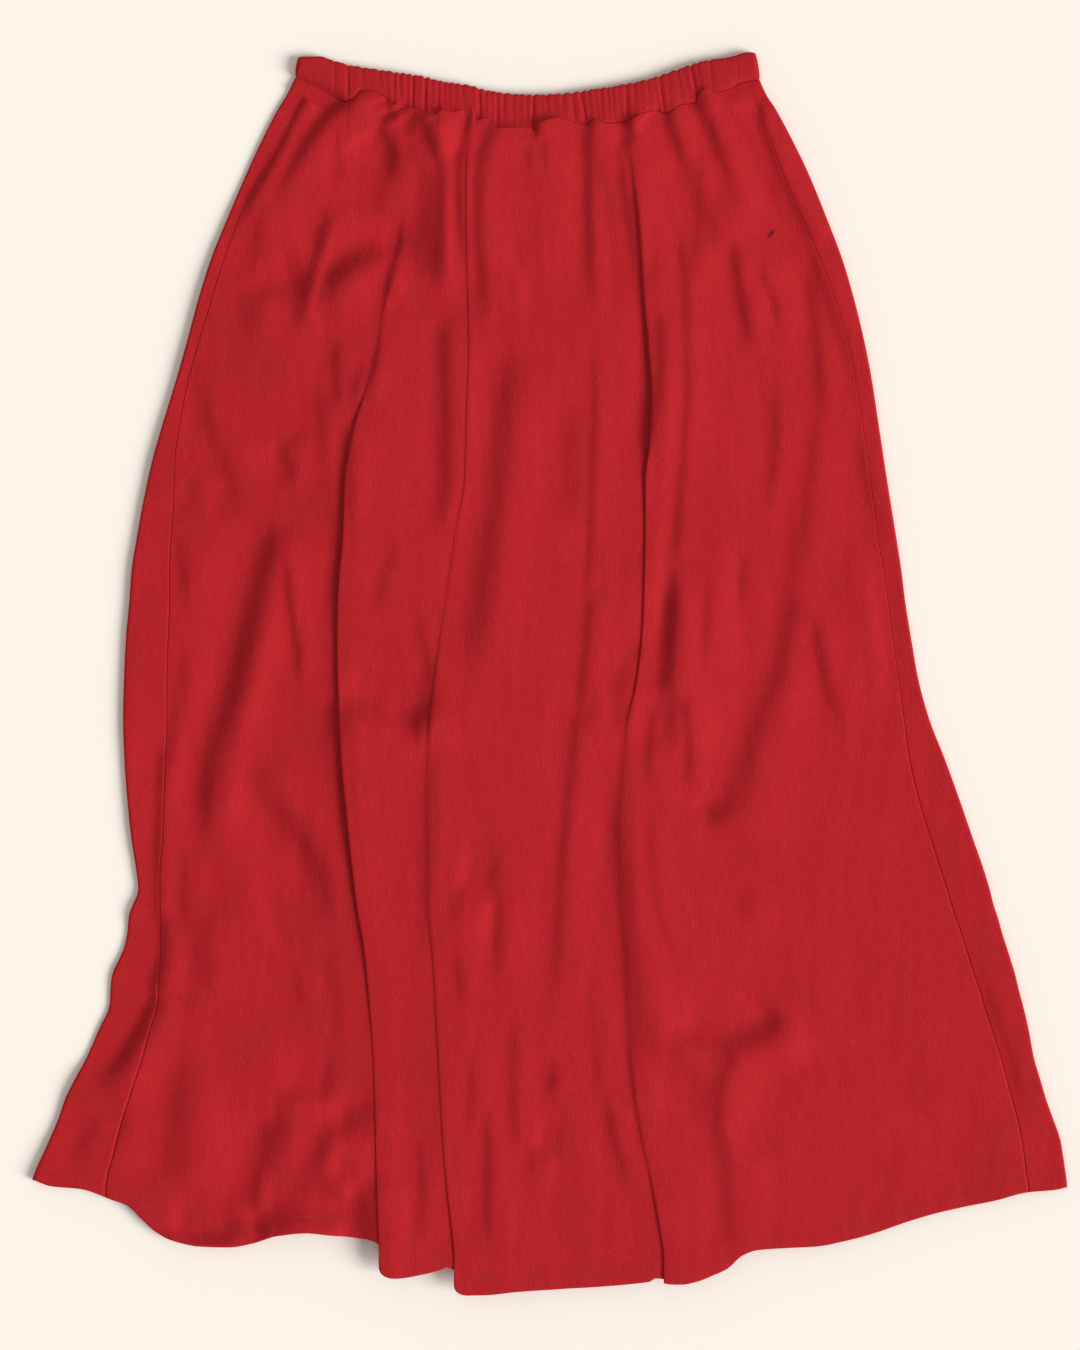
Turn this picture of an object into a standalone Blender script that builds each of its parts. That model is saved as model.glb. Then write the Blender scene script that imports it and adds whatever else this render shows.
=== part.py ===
"""A gathered linen midi skirt, laid flat with its back panel underneath.

Run it with: blender --background --python part.py

The object is in metres, +Z up, waist towards +Y, and rests on Z = 0. The tables are in millimetres:
"across" runs from the centre line towards +X, "down" from the top of the waistband to the hem, and
heights are those of the middle of the cloth.
"""

import math
from collections import namedtuple

import bpy
import numpy as np

# ---------------------------------------------------------------- driving dimensions, millimetres
# From the top of the waistband to the lowest point of the hem.
LENGTH = 917.0
CLOTH_WALL = 1.2
# Two layers of linen with the elastic between them.
BAND_WALL = 2.4
LAYER_GAP = 0.4

# Pieces stay this far apart at a seam. The side seams and the band's seam stand back a little more,
# because the cut edges there slope with the cloth.
SEAM_GAP = 0.3
SIDE_SEAM_SHIFT = 0.38
BAND_SEAM_SHIFT = 0.75

# The folded side edges: how far they bulge out and up, and how wide the bulge is.
ROLL_RADIUS = 3.2
ROLL_HEIGHT = 3.4
ROLL_REACH = 8.0

# The upper layer lies loose on the lower one, highest below the waist, and is pinched at its seam.
LOWEST_TOP_LAYER = 1.5 * CLOTH_WALL + LAYER_GAP
LOFT = 2.4
WAIST_LOFT = 3.6
WAIST_LOFT_LENGTH = 85.0
SEAM_PINCH = 1.6
SEAM_PINCH_LENGTH = 7.0
# How softly a trough levels out where it reaches the lower layer, in square millimetres.
FLOOR_SOFTNESS = 0.5

# The waistband's gathers, and how far they push its upper face and its top edge in and out.
BAND_RIBS = 34
BAND_RIB_DEPTH = 0.9
BAND_EDGE_WAVE = 1.4
BAND_FOLD_RADIUS = 3.0
# The ribs swell from the seam and stop swelling at this share of the way to the top edge.
BAND_PUFF_END = 0.85

FRONT_RED = (0.49, 0.022, 0.027)
BACK_RED = (0.44, 0.02, 0.025)
BAND_RED = (0.39, 0.017, 0.02)
LINEN_ROUGHNESS = 0.85

# ---------------------------------------------------------------- the outline and the side seams
# Each row crosses the laid skirt: its two folded side edges, and the side seams a little inside them.
Section = namedtuple("Section", "down left_fold left_seam right_seam right_fold")
SECTIONS = (
    Section(18, -189, -179, 145, 155),
    Section(41, -202, -188, 154, 167),
    Section(78, -221, -210, 168, 187),
    Section(123, -240, -231, 187, 205),
    Section(167, -257, -247, 206, 221),
    Section(212, -269, -260, 220, 233),
    Section(256, -281, -272, 229, 241),
    Section(300, -295, -278, 235, 247),
    Section(345, -304, -280, 241, 254),
    Section(389, -311, -282, 248, 259),
    Section(434, -314, -283, 254, 268),
    Section(478, -316, -284, 260, 278),
    Section(522, -315, -285, 266, 293),
    Section(567, -311, -286, 277, 309),
    Section(611, -306, -289, 291, 324),
    Section(656, -314, -289, 306, 337),
    Section(700, -326, -290, 320, 349),
    Section(744, -344, -302, 334, 359),
    Section(789, -365, -317, 346, 373),
    Section(835, -382, -329, 354, 383),
)

# The seam between panels and waistband, and the top of the waistband.
Point = namedtuple("Point", "across down")
WAIST_SEAM = (
    Point(-184, 19),
    Point(-173, 24),
    Point(-150, 35),
    Point(-139, 28),
    Point(-127, 29),
    Point(-114, 37),
    Point(-94, 43),
    Point(-82, 45),
    Point(-66, 42),
    Point(-56, 46),
    Point(-39, 54),
    Point(-12, 57),
    Point(-4, 50),
    Point(7, 48),
    Point(28, 52),
    Point(35, 48),
    Point(43, 52),
    Point(57, 50),
    Point(79, 42),
    Point(86, 44),
    Point(96, 38),
    Point(107, 35),
    Point(119, 29),
    Point(135, 25),
    Point(150, 20),
)
BACK_WAIST_SEAM = (
    Point(-184, 19),
    Point(-140, 31),
    Point(-94, 42),
    Point(-22, 53),
    Point(57, 47),
    Point(108, 33),
    Point(150, 20),
)
WAIST_TOP = (
    Point(-187, 5),
    Point(-167, 4),
    Point(-132, 11),
    Point(-96, 17),
    Point(-61, 24),
    Point(-25, 31),
    Point(10, 30),
    Point(46, 24),
    Point(81, 18),
    Point(117, 6),
    Point(152, 1),
)

# The hem drops a step at each lapped fold, so it has one curve for each stretch between them.
HEM = (
    (
        Point(-383, 834),
        Point(-357, 838),
        Point(-330, 846),
        Point(-307, 857),
        Point(-289, 873),
        Point(-250, 881),
        Point(-207, 875),
        Point(-179, 871),
        Point(-127, 876),
    ),
    (
        Point(-124, 903),
        Point(-96, 902),
        Point(-68, 897),
    ),
    (
        Point(-63, 916),
        Point(-25, 914),
        Point(22, 911),
        Point(70, 907),
        Point(84, 904),
    ),
    (
        Point(90, 909),
        Point(111, 906),
        Point(144, 885),
        Point(188, 882),
        Point(223, 875),
        Point(259, 864),
        Point(295, 855),
        Point(342, 844),
        Point(384, 838),
    ),
)
BACK_HEM = (
    Point(-383, 834),
    Point(-330, 842),
    Point(-289, 862),
    Point(-207, 866),
    Point(-127, 868),
    Point(-60, 890),
    Point(70, 898),
    Point(144, 878),
    Point(223, 868),
    Point(295, 850),
    Point(384, 838),
)

# ---------------------------------------------------------------- folds and creases
# At a lapped fold the cloth on its right lies over the cloth on its left. "across" is the middle of
# the turn, "rise" how far the upper cloth stands over the lower, and "tuck" how far it is pushed under.
Lap = namedtuple("Lap", "down across rise tuck")
LEFT_LAP = (
    Lap(49, -115, 2.0, 0.0),
    Lap(93, -112, 3.5, 0.0),
    Lap(152, -114, 4.5, 1.0),
    Lap(212, -125, 5.5, 2.5),
    Lap(278, -140, 6.5, 4.5),
    Lap(352, -151, 7.5, 5.0),
    Lap(434, -159, 7.5, 5.0),
    Lap(522, -157, 7.0, 4.8),
    Lap(626, -146, 7.0, 4.8),
    Lap(752, -132, 6.8, 4.8),
    Lap(885, -126, 6.8, 4.8),
)
MIDDLE_LAP = (
    Lap(49, -61, 2.5, 1.0),
    Lap(93, -65, 5.5, 2.5),
    Lap(152, -64, 6.0, 3.5),
    Lap(212, -64, 6.5, 4.0),
    Lap(278, -66, 6.5, 4.4),
    Lap(352, -73, 7.0, 4.8),
    Lap(434, -83, 7.0, 4.8),
    Lap(522, -92, 6.8, 4.8),
    Lap(626, -90, 6.8, 4.8),
    Lap(752, -83, 6.8, 4.8),
    Lap(885, -69, 6.8, 4.8),
)
RIGHT_LAP = (
    Lap(49, 54, 3.0, 1.0),
    Lap(93, 59, 6.0, 3.0),
    Lap(152, 65, 8.0, 4.5),
    Lap(212, 70, 10.5, 5.5),
    Lap(278, 73, 11.5, 6.5),
    Lap(352, 70, 10.5, 6.5),
    Lap(434, 67, 9.5, 6.5),
    Lap(522, 56, 9.0, 6.5),
    Lap(626, 52, 8.5, 6.5),
    Lap(752, 60, 7.5, 6.0),
    Lap(885, 84, 6.0, 5.0),
)
Fold = namedtuple("Fold", "laps half_width falloff")
FOLDS = (
    Fold(LEFT_LAP, 9.5, 42.0),
    Fold(MIDDLE_LAP, 9.5, 40.0),
    Fold(RIGHT_LAP, 11.0, 52.0),
)

# Soft troughs (negative height) and ridges, each along a curve through three points.
Crease = namedtuple("Crease", "top_x top_y mid_x mid_y low_x low_y width height")
CREASES = (
    Crease(-178, 36, -214, 90, -246, 165, 6, -3.4),
    Crease(-150, 34, -186, 82, -220, 145, 7, -5.0),
    Crease(-160, 70, -184, 200, -188, 520, 11, -3.2),
    Crease(-102, 38, -82, 112, -76, 250, 9, -5.5),
    Crease(-78, 250, -72, 320, -84, 410, 10, -3.0),
    Crease(-41, 53, -54, 115, -48, 190, 7, -4.4),
    Crease(-12, 54, -15, 74, -18, 98, 4, -3.0),
    Crease(-12, 54, -7, 74, -3, 98, 4, -2.4),
    Crease(-26, 215, -34, 300, -64, 480, 16, -4.2),
    Crease(28, 50, 29, 170, 28, 430, 6, -4.4),
    Crease(24, 440, 6, 600, -3, 720, 10, -3.4),
    Crease(34, 58, 46, 118, 52, 195, 5, -3.4),
    Crease(84, 42, 97, 78, 111, 135, 6, -3.6),
    Crease(94, 90, 101, 250, 90, 400, 8, -4.0),
    Crease(90, 390, 76, 560, 92, 710, 9, -5.2),
    Crease(96, 440, 102, 540, 100, 600, 7, -3.2),
    Crease(112, 32, 129, 88, 144, 170, 6, -5.0),
    Crease(160, 60, 205, 190, 245, 350, 9, -4.2),
    Crease(178, 120, 198, 300, 112, 600, 15, -4.0),
    Crease(196, 420, 204, 450, 212, 490, 10, -2.4),
    Crease(92, 730, 133, 736, 168, 704, 9, -3.4),
    Crease(127, 760, 122, 810, 132, 880, 10, -3.2),
    Crease(333, 735, 345, 770, 366, 800, 8, -2.6),
    Crease(-192, 345, -236, 460, -256, 630, 17, -4.6),
    Crease(-207, 525, -184, 570, -152, 700, 12, -3.4),
    Crease(-286, 515, -287, 660, -304, 760, 9, -4.0),
    Crease(-185, 765, -190, 820, -226, 880, 14, -4.0),
    Crease(-157, 482, -124, 490, -90, 489, 11, -3.4),
    Crease(-258, 240, -248, 280, -229, 320, 9, -2.6),
    Crease(130, 360, 132, 420, 131, 470, 13, 3.0),
    Crease(-228, 400, -226, 520, -222, 600, 14, 3.0),
    Crease(-36, 145, -22, 175, -20, 215, 8, 3.2),
    Crease(-185, 757, -168, 764, -150, 776, 8, 3.0),
)

# ---------------------------------------------------------------- how finely the cloth is divided
# Columns in each stretch between the side seams and the laps.
STRETCH_COLUMNS = (14, 8, 22, 22)
PANEL_ROWS = 24
# Above 1, this draws the rows together at the waist.
ROW_CROWDING = 1.15
BACK_COLUMNS = 14
WRAP_COLUMNS = 3
ROLL_STEPS = 4
# Where the mesh crosses a lap, from -1 on the lower cloth to 1 on the upper, closest at its turns.
LAP_COLUMNS = (-1.0, -0.62, -0.48, -0.36, -0.2, 0.0, 0.2, 0.36, 0.48, 0.62, 1.0)
CREASE_STEPS = 25
# The seam's place depends on where a column crosses it, so it is found in a few rounds.
SEAM_ROUNDS = 5

BAND_ROWS = 4
BAND_BACK_COLUMNS = 24
BAND_END_STEPS = 4
BAND_END_COLUMNS = (16, 9)
COLUMNS_PER_RIB = 4
# The part of the band's width that is finely gathered: its two ends lie smooth.
BAND_GATHERED = (0.2, 0.9)
# Where the band's layers start to turn at its two ends, at its seam and at its top edge.
BAND_FOLDS_LOW = (-185.0, 151.0)
BAND_FOLDS_HIGH = (-182.5, 148.5)


# ---------------------------------------------------------------- curves
def through(knots, values, at):
    """A smooth curve through the given knots, held level beyond them."""
    knots = np.asarray(knots, float)
    values = np.asarray(values, float)
    slopes = np.gradient(values, knots)
    at = np.clip(np.asarray(at, float), knots[0], knots[-1])
    place = np.clip(np.searchsorted(knots, at) - 1, 0, len(knots) - 2)
    step = knots[place + 1] - knots[place]
    t = (at - knots[place]) / step
    start = values[place] * (1 + 2 * t) * (1 - t) ** 2 + slopes[place] * step * t * (1 - t) ** 2
    end = values[place + 1] * (3 - 2 * t) * t**2 - slopes[place + 1] * step * (1 - t) * t**2
    return start + end


def column(rows, name, down):
    return through([row.down for row in rows], [getattr(row, name) for row in rows], down)


def edge_down(points, across):
    return through([p.across for p in points], [p.down for p in points], across)


def ease(t):
    t = np.clip(t, 0.0, 1.0)
    return t * t * (3 - 2 * t)


# ---------------------------------------------------------------- the upper layer of cloth
# A lap with at least this tuck has a level middle layer between its two turns, each of which takes
# up this much of the lap's half width.
FULL_TUCK = 4.0
TURN_WIDTH = 0.8
CREASE_FADE = 0.25
CREASE_END_HEIGHT = 0.15
# Every point of the upper layer has a place u: -1 to 0 is the left wrap, 0 to 7 the front panel, with
# a stretch of cloth at each even number and a lap at each odd one, and 7 to 8 is the right wrap.
FIRST_SEAM = 0.0
LAST_SEAM = float(2 * len(FOLDS) + 1)


def roll_top(side, down):
    """Where the folded side edge has turned up and over, at one side: -1 is left and 1 is right."""
    name = "left_fold" if side < 0 else "right_fold"
    return column(SECTIONS, name, down) - side * (ROLL_RADIUS + CLOTH_WALL / 2)


def stretch_ends(number, down):
    """The two ends across of a stretch between laps, the first and last ending at the side seams."""
    if number == 0:
        start = column(SECTIONS, "left_seam", down)
    else:
        before = FOLDS[number - 1]
        start = column(before.laps, "across", down) + before.half_width
    if number == len(FOLDS):
        end = column(SECTIONS, "right_seam", down)
    else:
        after = FOLDS[number]
        end = column(after.laps, "across", down) - after.half_width
    return start, end


def across_at(u, down):
    """Across for a column at place u, at each of the given distances down."""
    if u < FIRST_SEAM:
        start, end = roll_top(-1, down), column(SECTIONS, "left_seam", down)
        return start + (end - start) * (u - FIRST_SEAM + 1)
    if u > LAST_SEAM:
        start, end = column(SECTIONS, "right_seam", down), roll_top(1, down)
        return start + (end - start) * (u - LAST_SEAM)
    part = min(int(u), int(LAST_SEAM) - 1)
    share = u - part
    if part % 2 == 0:
        start, end = stretch_ends(part // 2, down)
        return start + (end - start) * share
    fold = FOLDS[part // 2]
    s = 2 * share - 1
    tuck = column(fold.laps, "tuck", down)
    middle = column(fold.laps, "across", down)
    return middle + fold.half_width * s - tuck * np.sin(math.pi * s)


def side_height(number, across, down):
    """How high the cloth right of a lap still stands, falling away from the lap."""
    if number < 0:
        return np.zeros_like(down)
    fold = FOLDS[number]
    past = across - column(fold.laps, "across", down) - fold.half_width
    return lap_top(number, down) * np.exp(-np.maximum(past, 0.0) / fold.falloff)


def lap_foot(number, down):
    """The height of the cloth that runs in under a lap."""
    fold = FOLDS[number]
    start = column(fold.laps, "across", down) - fold.half_width
    return side_height(number - 1, start, down)


def lap_top(number, down):
    return lap_foot(number, down) + column(FOLDS[number].laps, "rise", down)


def lap_height(u, across, down):
    part = int(np.clip(u, FIRST_SEAM, LAST_SEAM - 1e-9))
    number = part // 2
    if part % 2 == 0:
        return side_height(number - 1, across, down)
    s = 2 * (u - part) - 1
    low = lap_foot(number, down)
    high = lap_top(number, down)
    plain = ease((s + 1) / 2)
    doubled = 0.5 * ease((s + TURN_WIDTH) / TURN_WIDTH) + 0.5 * ease(s / TURN_WIDTH)
    lapped = ease(column(FOLDS[number].laps, "tuck", down) / FULL_TUCK)
    return low + (high - low) * (plain + (doubled - plain) * lapped)


def crease_height(crease, across, down):
    """A soft trough or ridge beside its curve, fading out at both ends."""
    t = np.linspace(0.0, 1.0, CREASE_STEPS)
    bend_x = 2 * crease.mid_x - (crease.top_x + crease.low_x) / 2
    bend_y = 2 * crease.mid_y - (crease.top_y + crease.low_y) / 2
    path_x = crease.top_x * (1 - t) ** 2 + 2 * bend_x * t * (1 - t) + crease.low_x * t**2
    path_y = crease.top_y * (1 - t) ** 2 + 2 * bend_y * t * (1 - t) + crease.low_y * t**2
    away = np.hypot(across[:, None] - path_x, down[:, None] - path_y)
    nearest = away.argmin(axis=1)
    fade = ease(np.minimum(t, 1 - t)[nearest] / CREASE_FADE)
    fade = CREASE_END_HEIGHT + (1 - CREASE_END_HEIGHT) * fade
    return crease.height * fade * np.exp(-((away.min(axis=1) / crease.width) ** 2))


def upper_height(u, across, down, seam_down):
    """Height of the middle of the cloth in the upper layer."""
    below_seam = down - seam_down
    height = LOWEST_TOP_LAYER + LOFT + WAIST_LOFT * np.exp(-below_seam / WAIST_LOFT_LENGTH)
    height = height - SEAM_PINCH * np.exp(-below_seam / SEAM_PINCH_LENGTH)
    height = height + lap_height(u, across, down)
    for side in (-1, 1):
        inside = np.maximum(side * (roll_top(side, down) - across), 0.0)
        height = height + ROLL_HEIGHT * np.exp(-((inside / ROLL_REACH) ** 2))
    for crease in CREASES:
        height = height + crease_height(crease, across, down)
    over = height - LOWEST_TOP_LAYER
    return LOWEST_TOP_LAYER + 0.5 * (over + np.sqrt(over**2 + FLOOR_SOFTNESS))


def hem_down(u):
    """Where the column at place u ends, on the hem's own curve for its stretch."""
    near_hem = np.array([LENGTH - 30.0])
    part = int(np.clip(u, FIRST_SEAM, LAST_SEAM - 1e-9))
    across = across_at(u, near_hem)
    if part % 2 == 0:
        return float(edge_down(HEM[part // 2], across)[0])
    before, after = HEM[part // 2], HEM[part // 2 + 1]
    share = float(ease(u - part))
    return before[-1].down + (after[0].down - before[-1].down) * share


def rows_down(u, shares):
    """Distances down of a column's points, from just below the waist seam to the hem, and the seam's."""
    seam = np.array([WAIST_SEAM[0].down], float)
    for _ in range(SEAM_ROUNDS):
        seam = edge_down(WAIST_SEAM, across_at(u, seam))
    seam = float(seam[0])
    start = seam + SEAM_GAP
    return start + (hem_down(u) - start) * shares, seam


def upper_column(u, shares, shift=0.0):
    """One column of the upper layer, as rows of (across, down, height)."""
    down, seam = rows_down(u, shares)
    across = across_at(u, down)
    height = upper_height(u, across, down, seam)
    return np.stack([across + shift, down, height], axis=1)


# ---------------------------------------------------------------- sheets of points into solids
def place(points):
    """Table millimetres to metres about the centre of the footprint."""
    across, down, height = np.moveaxis(np.asarray(points, float), -1, 0)
    return np.stack([across, LENGTH / 2 - down, height], axis=-1) / 1000.0


def fabric(name, colour):
    material = bpy.data.materials.new(name)
    material.use_nodes = True
    shader = material.node_tree.nodes["Principled BSDF"]
    shader.inputs["Base Color"].default_value = (*colour, 1.0)
    shader.inputs["Roughness"].default_value = LINEN_ROUGHNESS
    shader.inputs["Metallic"].default_value = 0.0
    material.diffuse_color = (*colour, 1.0)
    return material


def cloth(name, points, wall, colour, closed=False):
    """A sheet through a grid of points, columns by rows, thickened equally to both sides.

    A closed sheet joins its last column to its first.
    """
    columns, rows = points.shape[:2]
    spans = columns if closed else columns - 1
    faces = []
    for i in range(spans):
        for j in range(rows - 1):
            beside = (i + 1) % columns
            faces.append((i * rows + j, i * rows + j + 1, beside * rows + j + 1, beside * rows + j))
    mesh = bpy.data.meshes.new(name)
    mesh.from_pydata(place(points).reshape(-1, 3).tolist(), [], faces)
    mesh.validate()
    mesh.shade_smooth()
    sheet = bpy.data.objects.new(name, mesh)
    skirt.objects.link(sheet)
    solidify = sheet.modifiers.new("wall", "SOLIDIFY")
    solidify.thickness = wall / 1000.0
    solidify.offset = 0.0
    mesh.materials.append(fabric(name + "_linen", colour))


# ---------------------------------------------------------------- the front panel
def front_places():
    """Where the front panel's columns stand, finer across the laps than between them."""
    places = []
    for part in range(int(LAST_SEAM)):
        if part % 2:
            places += [part + (s + 1) / 2 for s in LAP_COLUMNS[:-1]]
            continue
        count = STRETCH_COLUMNS[part // 2]
        places += [part + i / count for i in range(count)]
    return places + [LAST_SEAM]


def row_shares():
    """Each row's share of the way from the waist seam to the hem, closer together at the gathers."""
    return (np.arange(PANEL_ROWS + 1) / PANEL_ROWS) ** ROW_CROWDING


def front_columns():
    columns = []
    for u in front_places():
        shift = SIDE_SEAM_SHIFT * ((u == FIRST_SEAM) - (u == LAST_SEAM))
        columns.append(upper_column(u, row_shares(), shift))
    return np.array(columns)


def front_panel():
    cloth("skirt_front", front_columns(), CLOTH_WALL, FRONT_RED)


# ---------------------------------------------------------------- the back panel
def wrap_columns(side, shares):
    """The back panel's strip on top of the skirt, from its side seam out to the folded edge."""
    seam = FIRST_SEAM if side < 0 else LAST_SEAM
    columns = []
    for i in range(WRAP_COLUMNS + 1):
        shift = side * SIDE_SEAM_SHIFT * (i == 0)
        columns.append(upper_column(seam + side * i / WRAP_COLUMNS, shares, shift))
    return columns


def roll_columns(edge, side):
    """The folded side edge: half a turn from the upper layer down to the lower one."""
    floor = CLOTH_WALL / 2
    middle = (edge[:, 2] + floor) / 2
    radius = (edge[:, 2] - floor) / 2
    columns = []
    for i in range(1, ROLL_STEPS + 1):
        turn = math.pi / 2 - math.pi * i / ROLL_STEPS
        out = side * ROLL_RADIUS * math.cos(turn)
        across = edge[:, 0] + out
        columns.append(np.stack([across, edge[:, 1], middle + radius * math.sin(turn)], axis=1))
    return columns


def lower_columns(left, right, shares):
    """The lower layer, flat on the surface between the two folded edges."""
    columns = []
    for i in range(1, BACK_COLUMNS):
        share = i / BACK_COLUMNS
        top = left[0, 0] + (right[0, 0] - left[0, 0]) * share
        low = left[-1, 0] + (right[-1, 0] - left[-1, 0]) * share
        start = float(edge_down(BACK_WAIST_SEAM, top)) + SEAM_GAP
        down = start + (float(edge_down(BACK_HEM, low)) - start) * shares
        ends = roll_top(-1, down), roll_top(1, down)
        across = ends[0] + (ends[1] - ends[0]) * share
        columns.append(np.stack([across, down, np.full_like(down, CLOTH_WALL / 2)], axis=1))
    return columns


def back_panel():
    shares = row_shares()
    left_wrap = wrap_columns(-1, shares)
    right_wrap = wrap_columns(1, shares)
    left_roll = roll_columns(left_wrap[-1], -1)
    right_roll = roll_columns(right_wrap[-1], 1)
    lower = lower_columns(left_roll[-1], right_roll[-1], shares)
    columns = left_wrap + left_roll + lower + right_roll[::-1] + right_wrap[::-1]
    cloth("skirt_back", np.array(columns)[::-1], CLOTH_WALL, BACK_RED)


# ---------------------------------------------------------------- the waistband
def band_column(share, front, rib, panel_top):
    """One column of the waistband, from its seam to its top edge, on its front or its back layer.

    The front layer's seam follows the top edge of the panels' upper layer, given as its points.
    """
    rows = np.arange(BAND_ROWS + 1) / BAND_ROWS
    low = BAND_FOLDS_LOW[0] + (BAND_FOLDS_LOW[1] - BAND_FOLDS_LOW[0]) * share
    high = BAND_FOLDS_HIGH[0] + (BAND_FOLDS_HIGH[1] - BAND_FOLDS_HIGH[0]) * share
    across = low + (high - low) * rows
    top = float(edge_down(WAIST_TOP, high))
    if front:
        seam = float(np.interp(low, panel_top[:, 0], panel_top[:, 1])) - BAND_SEAM_SHIFT
        top += BAND_EDGE_WAVE * (0.5 - 0.5 * rib)
    else:
        seam = float(edge_down(BACK_WAIST_SEAM, low)) - SEAM_GAP
        top += 2 * BAND_EDGE_WAVE
    down = seam + (top - seam) * rows
    height = np.full_like(rows, BAND_WALL / 2)
    if front:
        puff = np.sin(math.pi * np.minimum(rows, BAND_PUFF_END))
        lowest = BAND_WALL * 1.5 + LAYER_GAP
        height = lowest + BAND_RIB_DEPTH * (1.3 + rib * puff)
    return np.stack([across, down, height], axis=1)


def band_end(front_end, back_end, side):
    """The folded end of the flattened ring, half a turn from one layer to the other."""
    middle = (front_end[:, 2] + back_end[:, 2]) / 2
    radius = (front_end[:, 2] - back_end[:, 2]) / 2
    columns = []
    for i in range(1, BAND_END_STEPS):
        turn = math.pi / 2 - math.pi * i / BAND_END_STEPS
        across = front_end[:, 0] + side * BAND_FOLD_RADIUS * math.cos(turn)
        columns.append(np.stack([across, front_end[:, 1], middle + radius * math.sin(turn)], axis=1))
    return columns


def band_ribs():
    """Where the front layer's columns stand and how far each is pushed up or down by the gathers."""
    first, last = BAND_GATHERED
    left_count, right_count = BAND_END_COLUMNS
    places = [(first * i / left_count, 0.0) for i in range(left_count)]
    for i in range(BAND_RIBS * COLUMNS_PER_RIB):
        count = i / COLUMNS_PER_RIB
        uneven = 0.7 + 0.3 * math.sin(1.7 * count)
        share = first + (last - first) * count / BAND_RIBS
        places.append((share, uneven * math.sin(2 * math.pi * count)))
    for i in range(right_count + 1):
        places.append((last + (1 - last) * i / right_count, 0.0))
    return places


def waistband():
    shares = row_shares()
    upper = wrap_columns(-1, shares)[:0:-1] + list(front_columns()) + wrap_columns(1, shares)[1:]
    panel_top = np.array([one[0] for one in upper])
    front = [band_column(share, True, rib, panel_top) for share, rib in band_ribs()]
    back = []
    for i in range(BAND_BACK_COLUMNS + 1):
        back.append(band_column(i / BAND_BACK_COLUMNS, False, 0.0, panel_top))
    right = band_end(front[-1], back[-1], 1)
    left = band_end(front[0], back[0], -1)
    ring = front + right + back[::-1] + left[::-1]
    cloth("waistband", np.array(ring)[::-1], BAND_WALL, BAND_RED, closed=True)


# ---------------------------------------------------------------- the skirt
for leftover in list(bpy.data.objects):
    bpy.data.objects.remove(leftover, do_unlink=True)

skirt = bpy.data.collections.new("gathered_midi_skirt")
bpy.context.scene.collection.children.link(skirt)
front_panel()
back_panel()
waistband()
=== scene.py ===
"""The looks of a gathered red linen midi skirt, laid flat on its back and seen from above."""

import math
from collections import namedtuple

import bpy
import numpy as np
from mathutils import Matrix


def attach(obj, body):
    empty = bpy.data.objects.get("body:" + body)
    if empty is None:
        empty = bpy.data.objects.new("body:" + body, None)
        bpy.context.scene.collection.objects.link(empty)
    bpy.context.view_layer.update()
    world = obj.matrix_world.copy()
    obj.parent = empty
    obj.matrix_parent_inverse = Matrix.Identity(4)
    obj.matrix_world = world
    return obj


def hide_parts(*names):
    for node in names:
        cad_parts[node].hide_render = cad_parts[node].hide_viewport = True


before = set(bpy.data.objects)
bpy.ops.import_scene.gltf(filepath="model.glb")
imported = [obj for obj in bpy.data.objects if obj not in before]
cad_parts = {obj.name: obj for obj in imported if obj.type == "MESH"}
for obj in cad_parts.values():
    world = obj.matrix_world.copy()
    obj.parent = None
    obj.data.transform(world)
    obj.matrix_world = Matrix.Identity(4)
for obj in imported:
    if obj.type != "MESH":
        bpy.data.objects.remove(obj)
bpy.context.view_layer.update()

# ---------------------------------------------------------------- the back panel
# One A-line panel of linen, the first down on the surface. It folds up and over at both sides, so
# that the side seams lie on top of the skirt, a little inside its edges.
# Sizes here are in millimetres: "across" runs from the centre line to the right, "down" from the
# top of the waistband to the hem, and heights are those of the middle of the cloth.
LENGTH = 917.0
CLOTH = 0.9
SEAM_GAP = 0.05

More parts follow.
